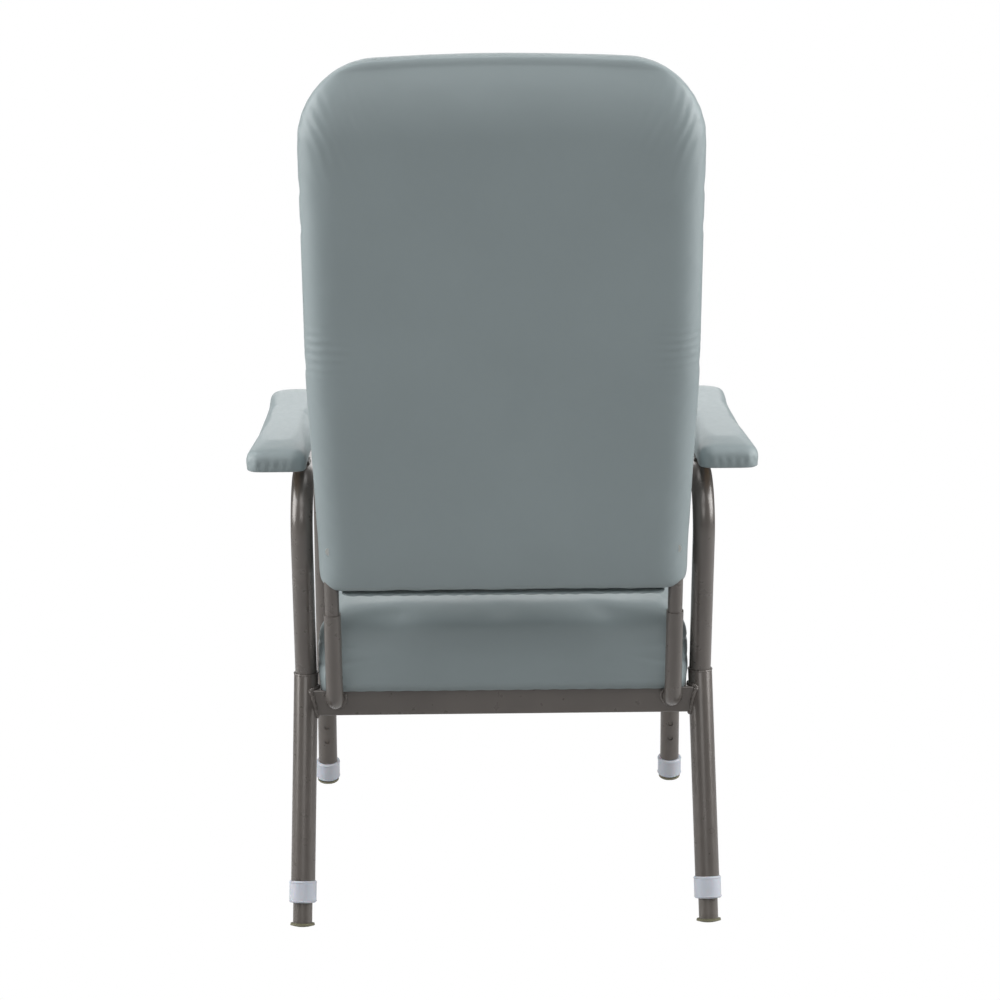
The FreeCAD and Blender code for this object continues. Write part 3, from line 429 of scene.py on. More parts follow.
def bell(value, width):
    """1 at 0, falling smoothly to nothing a few widths away."""
    return math.exp(-(value / width) ** 2)


# ---------------------------------------------------------------- upholstery


class Panel:
    """The local frame of an upholstered slab: across is +X, up its length, out its face."""

    def __init__(self, origin, up, out):
        self.origin, self.up, self.out = origin, up.normalized(), out.normalized()
        self.across = Vector((1, 0, 0))

    def point(self, across, up, out):
        return self.origin + self.across * across + self.up * up + self.out * out

    def read(self, point):
        away = point - self.origin
        return away.dot(self.across), away.dot(self.up), away.dot(self.out)


def shrunk_outline(half_at, length, corners, inset, shares, count=30):
    """A rounded outline, inset all round: half_at gives its half width at a height.

    corners holds the lower and upper corner radii and how far the top bows up; shares is how much
    of the inset its lower and its upper edge take.
    """
    low_share, high_share = shares
    low_corner, high_corner, crown = corners
    points = []
    for up, corner, turn in ((0.0, low_corner, -math.pi / 2), (length, high_corner, 0.0)):
        radius = max(corner - inset, 0.002)
        level = inset * low_share if up == 0.0 else up - inset * high_share
        centre_up = level + radius if up == 0.0 else level - radius
        half = half_at(centre_up) - inset - radius
        for k in range(count):
            angle = turn + math.pi / 2 * k / (count - 1)
            across = half + radius * math.cos(angle)
            points.append((across, centre_up + radius * math.sin(angle)))
        if up == 0.0:
            top = length - max(high_corner, 0.002)
            for k in range(1, count):
                height = centre_up + (top - centre_up) * k / count
                points.append((half_at(height) - inset, height))
    left = [(-across, up) for across, up in reversed(points)]
    whole = points + [(points[-1][0] * (1 - 2 * k / count), points[-1][1]) for k in range(1, count)]
    whole += left + [(left[-1][0] * (1 - 2 * k / count), left[-1][1]) for k in range(1, count)]
    bowed = []
    for across, up in whole:
        share = min(1.0, abs(across) / half_at(length))
        rise = crown * (1 - share ** 2) * smoothstep((up / length - 0.5) * 2)
        bowed.append((across, up + rise))
    return bowed


def slab(panel, half_at, length, corners, profile, shares=(1.0, 1.0)):
    """A closed slab whose side follows a profile of (inset, out) steps, its faces made of rings."""

    def build(work):
        loops = []
        for inset, out in profile:
            outline = shrunk_outline(half_at, length, corners, inset, shares)
            loops.append([panel.point(across, up, out) for across, up in outline])
        rings(work, loops)

    return build


def remeshed(mesh, voxel):
    """The mesh remade of even quads, so that cloth and dents behave the same all over."""
    holder = linked("remesh_holder", mesh)
    remesh = holder.modifiers.new("Remesh", "REMESH")
    remesh.mode = "VOXEL"
    remesh.voxel_size = voxel
    remesh.use_smooth_shade = True
    return baked(holder)


def inflated(mesh, cap_at, pressure=4.0, frames=20):
    """The mesh blown up as cloth from the inside; no point moves further than cap_at allows."""
    before = [vertex.co.copy() for vertex in mesh.vertices]
    holder = linked("cloth_holder", mesh)
    cloth = holder.modifiers.new("Cloth", "CLOTH")
    settings = cloth.settings
    settings.use_pressure = True
    settings.uniform_pressure_force = pressure
    settings.effector_weights.gravity = 0.0
    settings.quality = 6
    settings.tension_stiffness = 25
    settings.compression_stiffness = 25
    settings.bending_stiffness = 2
    cloth.point_cache.frame_start, cloth.point_cache.frame_end = 1, frames
    for step in range(1, frames + 1):
        bpy.context.scene.frame_set(step)
    blown = baked(holder)
    bpy.context.scene.frame_set(1)
    for vertex, start in zip(blown.vertices, before):
        moved = vertex.co - start
        limit = cap_at(start)
        if moved.length > limit:
            vertex.co = start + moved * (limit / moved.length)
    return blown


def relaxed(mesh, rounds):
    """The mesh with its small unevenness smoothed away."""
    work = bmesh.new()
    work.from_mesh(mesh)
    for _ in range(rounds):
        bmesh.ops.smooth_vert(work, verts=work.verts, factor=0.5,
                              use_axis_x=True, use_axis_y=True, use_axis_z=True)
    work.to_mesh(mesh)
    work.free()
    return mesh


def subdivided(mesh):
    holder = linked("subdivide_holder", mesh)
    surface = holder.modifiers.new("Subdivision", "SUBSURF")
    surface.levels = surface.render_levels = 1
    return baked(holder)


def padded_mesh(build, name, voxel, cap_at, smooth=6):
    """Shape, remesh, cloth and one subdivision: the start of every cushion."""
    mesh = remeshed(mesh_from(build, name), voxel)
    mesh = inflated(mesh, cap_at)
    mesh = relaxed(mesh, smooth)
    mesh = subdivided(mesh)
    mesh.name = name
    return mesh


def dented(mesh, dent):
    """Moves each point by what a function of the point and its normal returns."""
    moves = [dent(vertex.co, vertex.normal) for vertex in mesh.vertices]
    for vertex, move in zip(mesh.vertices, moves):
        vertex.co = vertex.co + move
    mesh.update()
    return mesh


# ---------------------------------------------------------------- places on the frame


def largest_facing(node, direction):
    """The normal of a node's largest polygon that faces roughly along a direction."""
    facing = [p for p in NODES[node].data.polygons if p.normal.dot(direction) > 0.9]
    return max(facing, key=lambda p: p.area).normal.copy()


def panel_over(nodes, up, out):
    """A panel frame that starts at the nodes' lowest up and out, and their (half, length, depth)."""
    panel = Panel(Vector((0, 0, 0)), up, out)
    reads = [panel.read(vertex.co) for name in nodes for vertex in NODES[name].data.vertices]
    across, ups, outs = zip(*reads)
    centre = (min(across) + max(across)) / 2
    panel.origin = panel.point(centre, min(ups), min(outs))
    size = ((max(across) - min(across)) / 2, max(ups) - min(ups), max(outs) - min(outs))
    return panel, size


def leg_axis(which, word):
    """A point on a leg's axis, inside its collar, and the axis upwards."""
    axis = Vector(JOINTS[f"{which}_{word}_leg_height"]["axis"])
    return mid(*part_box(f"{which}_{word}_collar")), -axis.normalized()


def at_height(point, along, height):
    return point + along * ((height - point.z) / along.z)


def onto_tube(start, direction, point, along, radius):
    """Where a ray first meets a tube about an axis; None if it misses."""
    across = direction - along * direction.dot(along)
    away = (start - point) - along * (start - point).dot(along)
    a, b, c = across.dot(across), 2 * across.dot(away), away.dot(away) - radius * radius
    inside = b * b - 4 * a * c
    if inside < 0:
        return None
    return start + direction * ((-b - math.sqrt(inside)) / (2 * a))


# ---------------------------------------------------------------- backrest

BACK, (BACK_HALF, BACK_LENGTH, BACK_DEPTH) = panel_over(
    ("back_rear_pad", "back_front_cushion"), BACK_UP, BACK_OUT)
BACK_CROWN = 0.014
BACK_FOOT_HALF = 0.236
BACK_TAPER = 0.290
BACK_SHOULDER = 0.006
BACK_CORNER = 0.090
BACK_LOW_CORNER = 0.020
REAR_EDGE = 0.028
FRONT_EDGE = 0.038
BACK_START_INSET = 0.003
BACK_GROWTH = 0.0005
BACK_TOP_GROWTH = 0.013
BACK_TOP_ROUND = 0.085
BACK_TOP_FALL = 0.75
BACK_SIDE_ROUND = 0.050
BACK_SIDE_FALL = 0.22
BOARD_CLEAR = 0.0755
PLEATS = (0.305, 0.481, 0.530)
PLEAT_WIDTH = 0.0065
PLEAT_DEPTH = 0.0085
SWELLS = ((0.145, 0.10, 0.006), (0.605, 0.05, 0.005))  # lumbar and head: height, reach, rise


def back_half_at(up):
    share = min(1.0, up / BACK_TAPER)
    shoulder = BACK_SHOULDER * smoothstep((up - 0.84 * BACK_LENGTH) / (0.16 * BACK_LENGTH))
    return BACK_FOOT_HALF + (BACK_HALF - BACK_FOOT_HALF) * share + BACK_GROWTH - shoulder


def back_top_at(across):
    """How high the crowned top edge stands at a distance from the middle."""
    return BACK_LENGTH - BACK_CROWN * (across / BACK_HALF) ** 2


def arc_profile(radius, inset_from, out_from, inwards, outwards, steps=7):
    """(inset, out) steps round a quarter circle that ends flush with a side."""
    made = []
    for k in range(steps):
        angle = math.pi / 2 * k / (steps - 1)
        made.append((inset_from + radius * (1 - math.sin(angle)) * inwards,
                     out_from + radius * (1 - math.cos(angle)) * outwards))
    return made


def back_profile():
    """From the middle of the rear face, round the side, to the middle of the front face."""
    rear = BACK_DEPTH - BACK_START_INSET
    front = BACK_START_INSET + 0.006
    middle = [(0.16, rear), (0.11, rear), (0.06, rear)]
    rear_arc = arc_profile(REAR_EDGE, 0.0, rear, 1.0, -1.0)
    front_arc = arc_profile(FRONT_EDGE, 0.0, front, 1.0, 1.0)[::-1]
    last = [(0.07, front), (0.12, front), (0.20, front)]
    return middle + rear_arc + front_arc + last


def back_cap(point):
    """How far the vinyl may swell: little behind, more in front, least where it meets the posts."""
    _, up, out = BACK.read(point)
    frontness = 1.0 - smoothstep(out / BACK_DEPTH * 1.6)
    foot = smoothstep(up / 0.06)
    return (0.003 + 0.015 * frontness) * (0.3 + 0.7 * foot)


def wrinkle(point, direction, wave, strength, centre, reach):
    """A patch of parallel creases: a wave along a direction that fades away from a centre."""
    away = point - centre
    warp = noise.noise(point * 18.0) * 1.4
    fade = bell(away.length, reach)
    return math.sin(away.dot(direction) / wave * 2 * math.pi + warp * 2.2) * strength * fade


def back_dent(point, normal):
    """Pleats that wrap round the front's sides, swells, a rounded rear edge and stretch creases."""
    across, up, out = BACK.read(point)
    move = Vector((0, 0, 0))
    wrap = 1.0 - smoothstep((out / BACK_DEPTH - 0.45) / 0.35)
    for height in PLEATS:
        wander = 0.0015 * noise.noise(Vector((across * 9, height * 40, 0)))
        move -= normal * PLEAT_DEPTH * bell(up - height - wander, PLEAT_WIDTH) * wrap
    swell = 0.0
    if out < BACK_DEPTH * 0.4:
        for height, reach, rise in SWELLS:
            swell += rise * bell(up - height, reach) * (1 - (across / BACK_HALF) ** 2 * 0.7)
    move += normal * swell
    from_top = max(0.0, 1.0 - max(0.0, back_top_at(across) - up) / BACK_TOP_ROUND)
    from_side = max(0.0, 1.0 - max(0.0, back_half_at(up) - abs(across)) / BACK_SIDE_ROUND)
    behind_board = max(0.0, out - BOARD_CLEAR)
    fall = min(0.9, BACK_TOP_FALL * from_top ** 2 + BACK_SIDE_FALL * from_side ** 2)
    move -= BACK.out * behind_board * fall
    for side in (-1, 1):
        corner = BACK.point(side * BACK_HALF * 0.86, BACK_LENGTH - 0.072, BACK_DEPTH * 0.93)
        slant = BACK.across * side * 0.8 + BACK.up * -0.35
        move += normal * wrinkle(point, slant.normalized(), 0.013, 0.00045, corner, 0.045)
        waist = BACK.point(side * BACK_HALF * 0.9, 0.33, BACK_DEPTH * 0.93)
        move += normal * wrinkle(point, BACK.up, 0.011, 0.0004, waist, 0.03)
    foot = bell(up, 0.016)
    move += normal * 0.0016 * foot * noise.noise(Vector((across * 34, up * 12, 3.1)))
    return move


def make_backrest():
    """The padded back, as one wrapped cover."""
    corners = (BACK_LOW_CORNER, BACK_CORNER, BACK_CROWN)
    length = BACK_LENGTH - BACK_CROWN + BACK_TOP_GROWTH
    build = slab(BACK, back_half_at, length, corners, back_profile(), shares=(0.35, 1.0))
    mesh = padded_mesh(build, "backrest_cover", 0.006, back_cap)
    dented(mesh, back_dent)
    cover = new_piece("backrest_cover", mesh, "vinyl", "backrest")
    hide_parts("back_rear_pad", "back_front_cushion")
    return cover


# ---------------------------------------------------------------- seat

SEAT_OUT = largest_facing("seat_board", Vector((0, 0, 1)))
SEAT_FORWARD = Vector((0, -SEAT_OUT.z, SEAT_OUT.y))
SEAT, (SEAT_HALF, SEAT_LENGTH, SEAT_DEPTH) = panel_over(("seat_cushion",), SEAT_FORWARD, SEAT_OUT)
SEAT_CORNER = 0.025
SEAT_TOP_EDGE = 0.024
SEAT_TAPER = 0.006
SKIRT_HEIGHT = 0.024
SKIRT_INSET = 0.007
SEAT_GROWTH = 0.0065
SEAT_FOLDS = ((0.030, 0.18), (0.064, -0.10))  # height up the side, slope away from the corner
WRAP_WIDTH = 0.036
WRAP_DROP = 0.0012


def seat_half_at(up):
    return SEAT_HALF + SEAT_GROWTH


def seat_profile():
    """From the middle of the underside, round the side, to the middle of the top."""
    top = SEAT_DEPTH - 0.010
    under = [(0.20, 0.0), (0.10, 0.0), (SEAT_TAPER + 0.012, 0.0), (SEAT_TAPER + 0.003, 0.002),
             (SEAT_TAPER, 0.006)]
    side = [(SEAT_TAPER * 0.45, SEAT_DEPTH * 0.30), (SEAT_TAPER * 0.1, SEAT_DEPTH * 0.55)]
    arc = arc_profile(SEAT_TOP_EDGE, 0.0, top, 1.0, -1.0)[::-1]
    return under + side + arc + [(0.06, top), (0.12, top), (0.20, top)]


def seat_cap(point):
    """How far the seat's vinyl may swell: hardly at the rim, more towards the top."""
    _, _, out = SEAT.read(point)
    return 0.0006 + 0.012 * smoothstep(out / SEAT_DEPTH * 1.3)


def edge_distance(half, length, across, up):
    return min(half - abs(across), up, length - up)


def seat_dent(point, normal):
    """Folds at the corners, wrapped and stapled vinyl under the rim, a shallow sitting hollow."""
    across, up, out = SEAT.read(point)
    move = Vector((0, 0, 0))
    inside = edge_distance(SEAT_HALF, SEAT_LENGTH, across, up)
    if out < 0.010:
        if inside > WRAP_WIDTH:
            return SEAT.out * (0.005 - out)
        pucker = 0.0007 * math.sin((across if up < 0.05 or up > SEAT_LENGTH - 0.05 else up) * 260)
        return SEAT.out * ((-WRAP_DROP + pucker * smoothstep(inside / 0.02)) - out)
    if out < SKIRT_HEIGHT and SKIRT_INSET < inside < 0.03:
        level = (normal - SEAT.out * normal.dot(SEAT.out)).normalized()
        move += level * (inside - SKIRT_INSET)
    for side in (-1, 1):
        for end in (0.0, SEAT_LENGTH):
            for height, slope in SEAT_FOLDS:
                reach = abs(across - side * SEAT_HALF) + abs(up - end)
                level = height + slope * reach
                fold = bell(out - level, 0.0035) * bell(reach, 0.055)
                move -= normal * 0.0022 * fold
    top = smoothstep((out / SEAT_DEPTH - 0.7) / 0.3)
    hollow = bell(math.hypot(across / 1.15, up - SEAT_LENGTH * 0.45), 0.15)
    move -= SEAT.out * 0.004 * hollow * top
    lip = bell(up - SEAT_LENGTH * 0.88, 0.05) * top
    move += SEAT.out * 0.003 * lip
    return move


def make_seat():
    build = slab(SEAT, seat_half_at, SEAT_LENGTH + SEAT_GROWTH, (SEAT_CORNER, SEAT_CORNER, 0.0),
                 seat_profile())
    mesh = padded_mesh(build, "seat_cover", 0.006, seat_cap)
    dented(mesh, seat_dent)
    cover = new_piece("seat_cover", mesh, "vinyl", "frame")
    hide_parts("seat_cushion")
    return cover


# ---------------------------------------------------------------- armrests

ARM_OUT = largest_facing("left_arm_board", Vector((0, 0, 1)))
ARM_FORWARD = Vector((0, -ARM_OUT.z, ARM_OUT.y))
ARM, (ARM_HALF, ARM_LENGTH, ARM_DEPTH) = panel_over(("left_arm_pad",), ARM_FORWARD, ARM_OUT)
ARM_CORNER = 0.020
ARM_FRONT_CORNER = 0.034
ARM_TOP_EDGE = 0.014
ARM_GROWTH = 0.0015
ARM_WRAP = 0.018


def arm_half_at(up):
    return ARM_HALF + ARM_GROWTH


def arm_profile():
    top = ARM_DEPTH - 0.004
    under = [(0.030, 0.0), (0.020, 0.0), (0.007, 0.0), (0.003, 0.001), (0.001, 0.004)]
    arc = arc_profile(ARM_TOP_EDGE, 0.0, top, 1.0, -1.0)[::-1]
    return under + arc + [(0.022, top), (0.030, top)]


def arm_cap(point):
    _, _, out = ARM.read(point)
    return 0.0006 + 0.006 * smoothstep(out / ARM_DEPTH * 1.3)


def arm_dent(point, normal):
    """Gathers where the vinyl is pulled under the ends and stapled."""
    across, up, out = ARM.read(point)
    inside = edge_distance(ARM_HALF, ARM_LENGTH, across, up)
    if out < 0.007:
        if inside > ARM_WRAP:
            return ARM.out * (0.004 - out)
        return ARM.out * (-0.0006 - out * 0.6)
    end = min(up, ARM_LENGTH - up)
    gather = bell(end, 0.016) * bell(out, 0.012)
    return normal * 0.0011 * gather * math.sin(across * 520 + 2 * noise.noise(point * 60))


def mirrored(mesh, name):
    copy = mesh.copy()
    copy.name = name
    copy.transform(Matrix.Scale(-1, 4, Vector((1, 0, 0))))
    copy.flip_normals()
    return copy


def make_arm_pads():
    corners = (ARM_CORNER, ARM_FRONT_CORNER, 0.0)
    build = slab(ARM, arm_half_at, ARM_LENGTH + ARM_GROWTH, corners, arm_profile())
    left = dented(padded_mesh(build, "left_arm_cover", 0.004, arm_cap, smooth=3), arm_dent)
    for word, mesh in (("left", left), ("right", mirrored(left, "right_arm_cover"))):
        cover = new_piece(f"{word}_arm_cover", mesh, "vinyl", "frame")
        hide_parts(f"{word}_arm_pad")


# ---------------------------------------------------------------- seams, stitches and staples


def surface_finder(piece):
    """A function from a point and a direction to where that ray meets a piece, with the normal."""
    def find(start, direction):
        hit, place, normal, _ = piece.ray_cast(start, direction)
        return (place, normal) if hit else (None, None)
    return find


def stitches(name, path, normals, body, length=0.0045, gap=0.0018, radius=0.00045):
    """Separate stitches along a path: short arcs of thread that dip into the vinyl at each end."""

    def build(work):
        travelled, start = 0.0, None
        for (here, normal), (after, _) in zip(zip(path, normals), zip(path[1:], normals[1:])):
            step = after - here
            if start is None:
                start = here
            travelled += step.length
            if travelled >= length + gap:
                along = (after - start).normalized()
                points = [start + along * length * t
                          + normal * radius * (1.2 * math.sin(math.pi * t) - 0.3)
                          for t in (0.0, 0.2, 0.5, 0.8, 1.0)]
                tube(work, points, lambda _: radius, sides=6)
                travelled, start = 0.0, None

    return new_piece(name, mesh_from(build, name), "thread", body)


def pleat_stitches(cover):
    """A row of stitches down in each pleat across the backrest's front."""
    find = surface_finder(cover)
    for number, height in enumerate(PLEATS, start=1):
        path, normals = [], []
        count = 420
        for k in range(count):
            across = (2 * k / (count - 1) - 1) * (BACK_HALF - FRONT_EDGE * 0.8)
            start = BACK.point(across, height, -0.1)
            place, normal = find(start, BACK.out)
            if place:
                path.append(place)
                normals.append(normal)
        stitches(f"pleat_stitches_{number}", path, normals, "backrest")


def staple_row(work, spots, down):
    """Flat wire staples: a crown lying on the wrap, each at a spot, with its direction."""
    for spot, direction in spots:
        across = down.cross(direction).normalized()
        half_long, half_wide, high = 0.005, 0.0005, 0.0005
        corners = []
        for a in (-half_long, half_long):
            for b in (-half_wide, half_wide):
                for c in (-0.0008, high):
                    corners.append(spot + direction * a + across * b + down * c)
        made = bmesh.ops.convex_hull(work, input=[work.verts.new(p) for p in corners])
        bmesh.ops.bevel(work, geom=[e for e in made["geom"] if isinstance(e, bmesh.types.BMEdge)],
                        offset=0.0002, segments=1, affect="EDGES")


def staples(name, panel, half, length, inside, spacing, body, lift):
    """Staples round the underside, a fixed way in from the edge."""
    rng = random.Random(len(name))

    def build(work):
        down = -panel.out
        rows = []
        for up in (inside, length - inside):
            count = max(2, int(2 * (half - 2 * inside) / spacing))
            for k in range(count + 1):
                across = -(half - 2 * inside) + 2 * (half - 2 * inside) * k / count
                rows.append((across, up, panel.across))
        for across in (-(half - inside), half - inside):
            count = int((length - 4 * inside) / spacing)
            for k in range(count + 1):
                rows.append((across, 2 * inside + (length - 4 * inside) * k / count, panel.up))
        spots = []
        for across, up, along in rows:
            turn = Quaternion(panel.out, rng.uniform(-0.35, 0.35))
            spot = panel.point(across, up + rng.uniform(-0.002, 0.002), -lift)
            spots.append((spot, turn @ along))
        staple_row(work, spots, down)

    return new_piece(name, mesh_from(build, name), "fastener_steel", body)


def make_closing_strip():
    """The narrow covered strip under the backrest, softly padded, with small pulls."""
    strip, (half, length, depth) = panel_over(("back_closing_strip",), BACK_OUT, -BACK_UP)
    corner = length / 2 - 0.002

    def half_at(up):
        return half

    profile = [(0.008, 0.0), (0.002, 0.0), (0.0, depth * 0.35), (0.001, depth * 0.8),
               (0.004, depth * 1.15), (0.009, depth * 1.3)]
    mesh = mesh_from(slab(strip, half_at, length, (corner, corner, 0.0), profile), "strip")
    mesh = relaxed(remeshed(mesh, 0.0022), 3)

    def pull(point, normal):
        return normal * 0.0004 * math.sin(point.x * 310 + 3 * noise.noise(point * 30))

    dented(mesh, pull)
    mesh.name = "closing_strip_cover"
    cover = new_piece("closing_strip_cover", mesh, "vinyl", "backrest")
    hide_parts("back_closing_strip")


# ---------------------------------------------------------------- welds


def bead(work, path, radius, closed, seed):
    """A weld bead: a tube that swells and pinches along its run."""
    waves = max(3, int(sum((b - a).length for a, b in zip(path, path[1:])) / 0.0042))

    def radius_at(t):
        lump = 0.5 + 0.5 * math.cos(2 * math.pi * waves * t)
        rough = noise.noise(Vector((t * waves * 0.7, seed * 3.1, 0.0)))
        return radius * (0.86 + 0.2 * lump + 0.22 * rough)

    tube(work, path, radius_at, sides=10, closed=closed)


def rounded_rectangle(half_wide, half_tall, corner, count=28):
    points = []
    for turn, (sx, sy) in enumerate(((1, 1), (-1, 1), (-1, -1), (1, -1))):
        for k in range(count):
            angle = math.pi / 2 * (turn + k / count)
            points.append((sx * (half_wide - corner) + corner * math.cos(angle),
                           sy * (half_tall - corner) + corner * math.sin(angle)))
    return points


def dense_loop(points, step=0.0011):
    """A closed loop of 2-D points, resampled evenly."""
    made = []
    for (ax, ay), (bx, by) in zip(points, points[1:] + points[:1]):
        count = max(1, int(math.hypot(bx - ax, by - ay) / step))
        made += [(ax + (bx - ax) * k / count, ay + (by - ay) * k / count) for k in range(count)]
    return made


def crossbar_welds(which):
    """Lumpy beads where a crossbar meets each leg."""
    low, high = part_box(f"{which}_crossbar")
    half_deep, half_tall = (high.y - low.y) / 2, (high.z - low.z) / 2
    centre = mid(low, high)
    loop = dense_loop(rounded_rectangle(half_deep + 0.0008, half_tall + 0.0008, 0.003))

    def build(work):
        for seed, (word, side) in enumerate(SIDES):
            point, along = leg_axis(which, word)
            radius = FRAME_RADIUS if which == "front" else LEG_RADIUS
            path = []
            for y, z in loop:
                start = Vector((0.0, centre.y + y, centre.z + z))
                spot = onto_tube(start, Vector((side, 0, 0)), point, along, radius)
                if spot:
                    path.append(spot)
            bead(work, path, 0.0029, True, seed + len(which))

    new_piece(f"{which}_crossbar_welds", mesh_from(build, "crossbar_welds"), "frame_paint", "frame")


def knee_welds():
    """A ground-down bead where each upright meets its rear leg."""

    def build(work):
        for seed, (word, _) in enumerate(SIDES):
            point, along = leg_axis("rear", word)
            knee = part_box(f"{word}_rear_leg")[1].z
            centre = at_height(point, along, knee)
            path = []
            count = 150
            for k in range(count):
                angle = 2 * math.pi * k / count
                inward = Vector((math.cos(angle), math.sin(angle), 0))
                start = centre - inward * 0.1
                path.append(onto_tube(start, inward, point, along, LEG_RADIUS - 0.0008))
            bead(work, path, 0.0014, True, seed + 11)

    new_piece("knee_welds", mesh_from(build, "knee_welds"), "frame_paint", "frame")


def socket_welds():
    """A heavy bead and a little spatter round each socket's end on the rear crossbar."""
    bar_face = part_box("rear_crossbar")[1].y
    rng = random.Random(7)

    def build(work):
        for seed, (word, _) in enumerate(SIDES):
            low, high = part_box(f"{word}_back_socket")
            radius = (high.x - low.x) / 2
            centre = Vector((mid(low, high).x, bar_face, low.z + radius))
            path = []
            count = 90
            for k in range(count):
                angle = 2 * math.pi * k / count
                swell = radius + 0.0012 + 0.0006 * noise.noise(Vector((angle * 2, seed, 0)))
                away = Vector((math.cos(angle) * swell, 0.0004, math.sin(angle) * swell))
                path.append(centre + away)
            bead(work, path, 0.0026, True, seed + 21)
            for _ in range(9):
                angle, away = rng.uniform(0, 2 * math.pi), rng.uniform(0.015, 0.019)
                spot = centre + Vector((math.cos(angle) * away, 0.0, math.sin(angle) * away * 0.75))
                size = rng.uniform(0.0005, 0.0011)
                bmesh.ops.create_icosphere(work, subdivisions=2, radius=size,
                                           matrix=Matrix.Translation(spot))

    new_piece("socket_welds", mesh_from(build, "socket_welds"), "frame_paint", "frame")


def rail_welds():
    """Beads round the seat rails' ends on both crossbars."""

    def build(work):
        for seed, (word, _) in enumerate(SIDES):
            low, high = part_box(f"{word}_seat_rail")
            for which in ENDS:
                bar_low, bar_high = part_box(f"{which}_crossbar")
                face = bar_low.y if which == "rear" else bar_high.y
                top = bar_high.z - 0.0022
                bottom = max(bar_low.z + 0.002, low.z if which == "rear" else top - 0.029)
                half_wide = (high.x - low.x) / 2
                centre = Vector((mid(low, high).x, face, (top + bottom) / 2))
                loop = dense_loop(rounded_rectangle(half_wide, (top - bottom) / 2, 0.002))
                path = [centre + Vector((x, 0.0, z)) for x, z in loop]
                bead(work, path, 0.0021, True, seed + 31)

    new_piece("rail_welds", mesh_from(build, "rail_welds"), "frame_paint", "frame")


def tab_welds():
    """Beads along both sides of the arm tube under each mounting tab."""

    def build(work):
        for seed, (word, side) in enumerate(SIDES):
            tabs = NODES[f"{word}_arm_tabs"].data
            points = [vertex.co for vertex in tabs.vertices]
            middle = sum((p.y for p in points), 0.0) / len(points)
            for group in ([p for p in points if p.y < middle],
                          [p for p in points if p.y >= middle]):
                back = max(p.y for p in group) - 0.002
                front = min(p.y for p in group) + 0.002
                low = min(p.z for p in group)
                frame_low, frame_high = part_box(f"{word}_side_frame")
                tube_x = side * (min(abs(frame_low.x), abs(frame_high.x)) + FRAME_RADIUS)
                for across in (-0.0065, 0.0065):
                    path = [Vector((tube_x + across, back + (front - back) * k / 40, low - 0.0006))
                            for k in range(41)]
                    bead(work, path, 0.0018, False, seed + across)

    new_piece("tab_welds", mesh_from(build, "tab_welds"), "frame_paint", "frame")


# ---------------------------------------------------------------- moulded rings

FOOT_RING_HEIGHT = 0.0042
FOOT_RING_RADIUS = 0.0009
COLLAR_RIB_INSET = 0.0022
COLLAR_RIB_RADIUS = 0.0006


def ring_path(centre, along, radius, count):
    """Points round a circle about an axis."""
    side = along.orthogonal().normalized()
    across = along.cross(side)
    return [centre + (side * math.cos(a) + across * math.sin(a)) * radius
            for a in (2 * math.pi * k / count for k in range(count))]


def foot_grooves():
    """A moulded ring round each rubber foot."""
    for which in ENDS:
        for word, _ in SIDES:
            point, along = leg_axis(which, word)
            low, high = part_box(f"{which}_{word}_foot")
            radius = (high.x - low.x) / 2 - 0.0004

            def build(work, point=point, along=along, radius=radius):
                path = ring_path(at_height(point, along, FOOT_RING_HEIGHT), along, radius, 72)
                tube(work, path, lambda _: FOOT_RING_RADIUS, sides=8, closed=True)

            new_piece(f"{which}_{word}_foot_rib", mesh_from(build, "foot_rib"), "foot_rubber",
                      f"{which}_{word}_leg_extension")


def collar_ribs():
    """Thin moulded beads round both ends of each collar."""
    for which in ENDS:
        for word, _ in SIDES:
            point, along = leg_axis(which, word)

            def build(work, point=point, along=along):
                for away in (COLLAR_HALF - COLLAR_RIB_INSET, COLLAR_RIB_INSET - COLLAR_HALF):
                    path = ring_path(point + along * away, along, COLLAR_RADIUS, 96)
                    tube(work, path, lambda _: COLLAR_RIB_RADIUS, sides=8, closed=True)

            new_piece(f"{which}_{word}_collar_rib", mesh_from(build, "collar_rib"), "collar_plastic",
                      "frame")


# ---------------------------------------------------------------- stage, light and camera

CAMERA_PLACE = (0.0472, 3.261, 1.230)  # y counts from the rear feet
CAMERA_TURN = (0.0133, 0.1993, -0.0070)  # yaw, pitch and roll in radians
CAMERA_LENS = 94.07
CAMERA_SENSOR = 36.0
FLOOR_LEVEL = -0.17
FLOOR_REACH = 14.0
FLOOR_NEAR = 6.0
WORLD_LIGHT = 0.16
LIGHTS_AIM = (0.0, 0.0, 0.6)
LIGHTS = (
    # name, place, size, power
    ("overhead", (0.0, 0.2, 3.4), (3.4, 3.0), 54),
    ("side_right", (-2.6, 0.3, 1.6), (2.0, 2.4), 100),
    ("side_left", (2.6, 0.3, 1.6), (2.0, 2.4), 100),
    ("behind_above", (0.3, 3.0, 3.5), (2.4, 1.6), 30),
    ("behind_camera", (0.3, 4.6, 2.0), (2.2, 1.6), 30),
    ("in_front", (0.0, -3.6, 1.6), (2.6, 2.2), 26),
)


def flat_material(name, colour, rough):
    shader = Shader(name)
    tint = shader.noise(2.0, 2.0)
    shader.drive("Base Color", shader.ramp(tint, [(0.3, colour), (0.7, shade(colour, 1.02))]))
    shader.fixed(Roughness=rough, Specular_IOR_Level=0.2)
    return shader.material


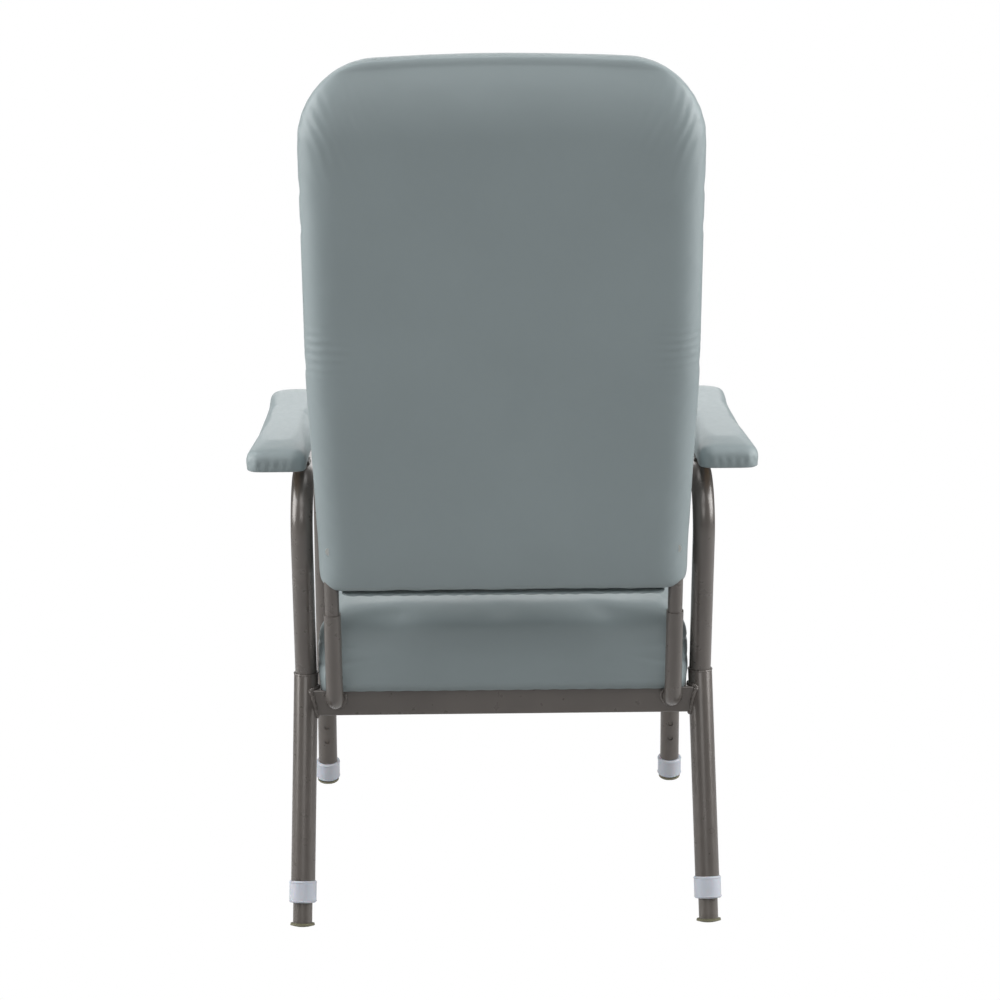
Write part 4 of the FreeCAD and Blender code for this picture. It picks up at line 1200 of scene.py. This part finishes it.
def make_stage():
    """A pale floor that lights the chair from below; the camera sees the surround through it."""

    def build(work):
        verts = [[work.verts.new((x, y, FLOOR_LEVEL)) for x in (-FLOOR_REACH, FLOOR_REACH)]
                 for y in (-FLOOR_REACH, FLOOR_NEAR)]
        work.faces.new((verts[0][0], verts[0][1], verts[1][1], verts[1][0]))

    mesh = mesh_from(build, "floor")
    floor = linked("floor", mesh)
    mesh.materials.append(flat_material("floor_pale", (0.42, 0.42, 0.42), 0.9))
    floor.visible_camera = False


def area_light(name, place, target, size, power):
    light = bpy.data.lights.new(name, "AREA")
    light.shape = "RECTANGLE"
    light.size, light.size_y = size
    light.energy = power
    lamp = linked(name, light)
    lamp.location = place
    lamp.rotation_mode = "QUATERNION"
    lamp.rotation_quaternion = (Vector(target) - Vector(place)).to_track_quat("-Z", "Y")


def make_world():
    """An even white surround; the camera sees it brighter than it lights the chair."""
    world = bpy.data.worlds.new("surround")
    bpy.context.scene.world = world
    world.use_nodes = True
    tree = world.node_tree
    background = tree.nodes["Background"]
    background.inputs["Color"].default_value = (1, 1, 1, 1)
    background.inputs["Strength"].default_value = WORLD_LIGHT
    seen = tree.nodes.new("ShaderNodeBackground")
    seen.inputs["Color"].default_value = (1, 1, 1, 1)
    seen.inputs["Strength"].default_value = 1.0
    path = tree.nodes.new("ShaderNodeLightPath")
    mix = tree.nodes.new("ShaderNodeMixShader")
    tree.links.new(path.outputs["Is Camera Ray"], mix.inputs["Fac"])
    tree.links.new(background.outputs["Background"], mix.inputs[1])
    tree.links.new(seen.outputs["Background"], mix.inputs[2])
    tree.links.new(mix.outputs["Shader"], tree.nodes["World Output"].inputs["Surface"])


def make_lights():
    """Large soft boxes overhead, at both sides, behind and in front, all aimed at the chair."""
    for name, place, size, power in LIGHTS:
        area_light(name, place, LIGHTS_AIM, size, power)


def make_camera():
    """A level-headed view from behind and a little above the backrest's middle."""
    point, along = leg_axis("rear", "left")
    rear_foot = at_height(point, along, 0.0).y
    data = bpy.data.cameras.new("photo_view")
    data.lens, data.sensor_width = CAMERA_LENS, CAMERA_SENSOR
    camera = linked("photo_view", data)
    yaw, pitch, roll = CAMERA_TURN
    ahead = Vector((-math.sin(yaw) * math.cos(pitch), -math.cos(yaw) * math.cos(pitch),
                    -math.sin(pitch)))
    right = Vector((-math.cos(yaw), math.sin(yaw), 0.0))
    above = right.cross(ahead)
    rolled_right = right * math.cos(roll) + above * math.sin(roll)
    rolled_above = above * math.cos(roll) - right * math.sin(roll)
    turn = Matrix((rolled_right, rolled_above, -ahead)).transposed()
    camera.matrix_world = Matrix.Translation((CAMERA_PLACE[0], rear_foot + CAMERA_PLACE[1],
                                              CAMERA_PLACE[2])) @ turn.to_4x4()
    data.clip_start, data.clip_end = 0.05, 60.0
    bpy.context.scene.camera = camera
    bpy.context.scene.view_settings.view_transform = "Standard"


def main():
    dress_cad_nodes()
    backrest = make_backrest()
    make_seat()
    make_arm_pads()
    make_closing_strip()
    pleat_stitches(backrest)
    staples("seat_staples", SEAT, SEAT_HALF, SEAT_LENGTH, WRAP_WIDTH * 0.62, 0.028, "frame",
            WRAP_DROP)
    for which in ENDS:
        crossbar_welds(which)
    knee_welds()
    socket_welds()
    rail_welds()
    tab_welds()
    foot_grooves()
    collar_ribs()
    make_stage()
    make_world()
    make_lights()
    make_camera()


main()
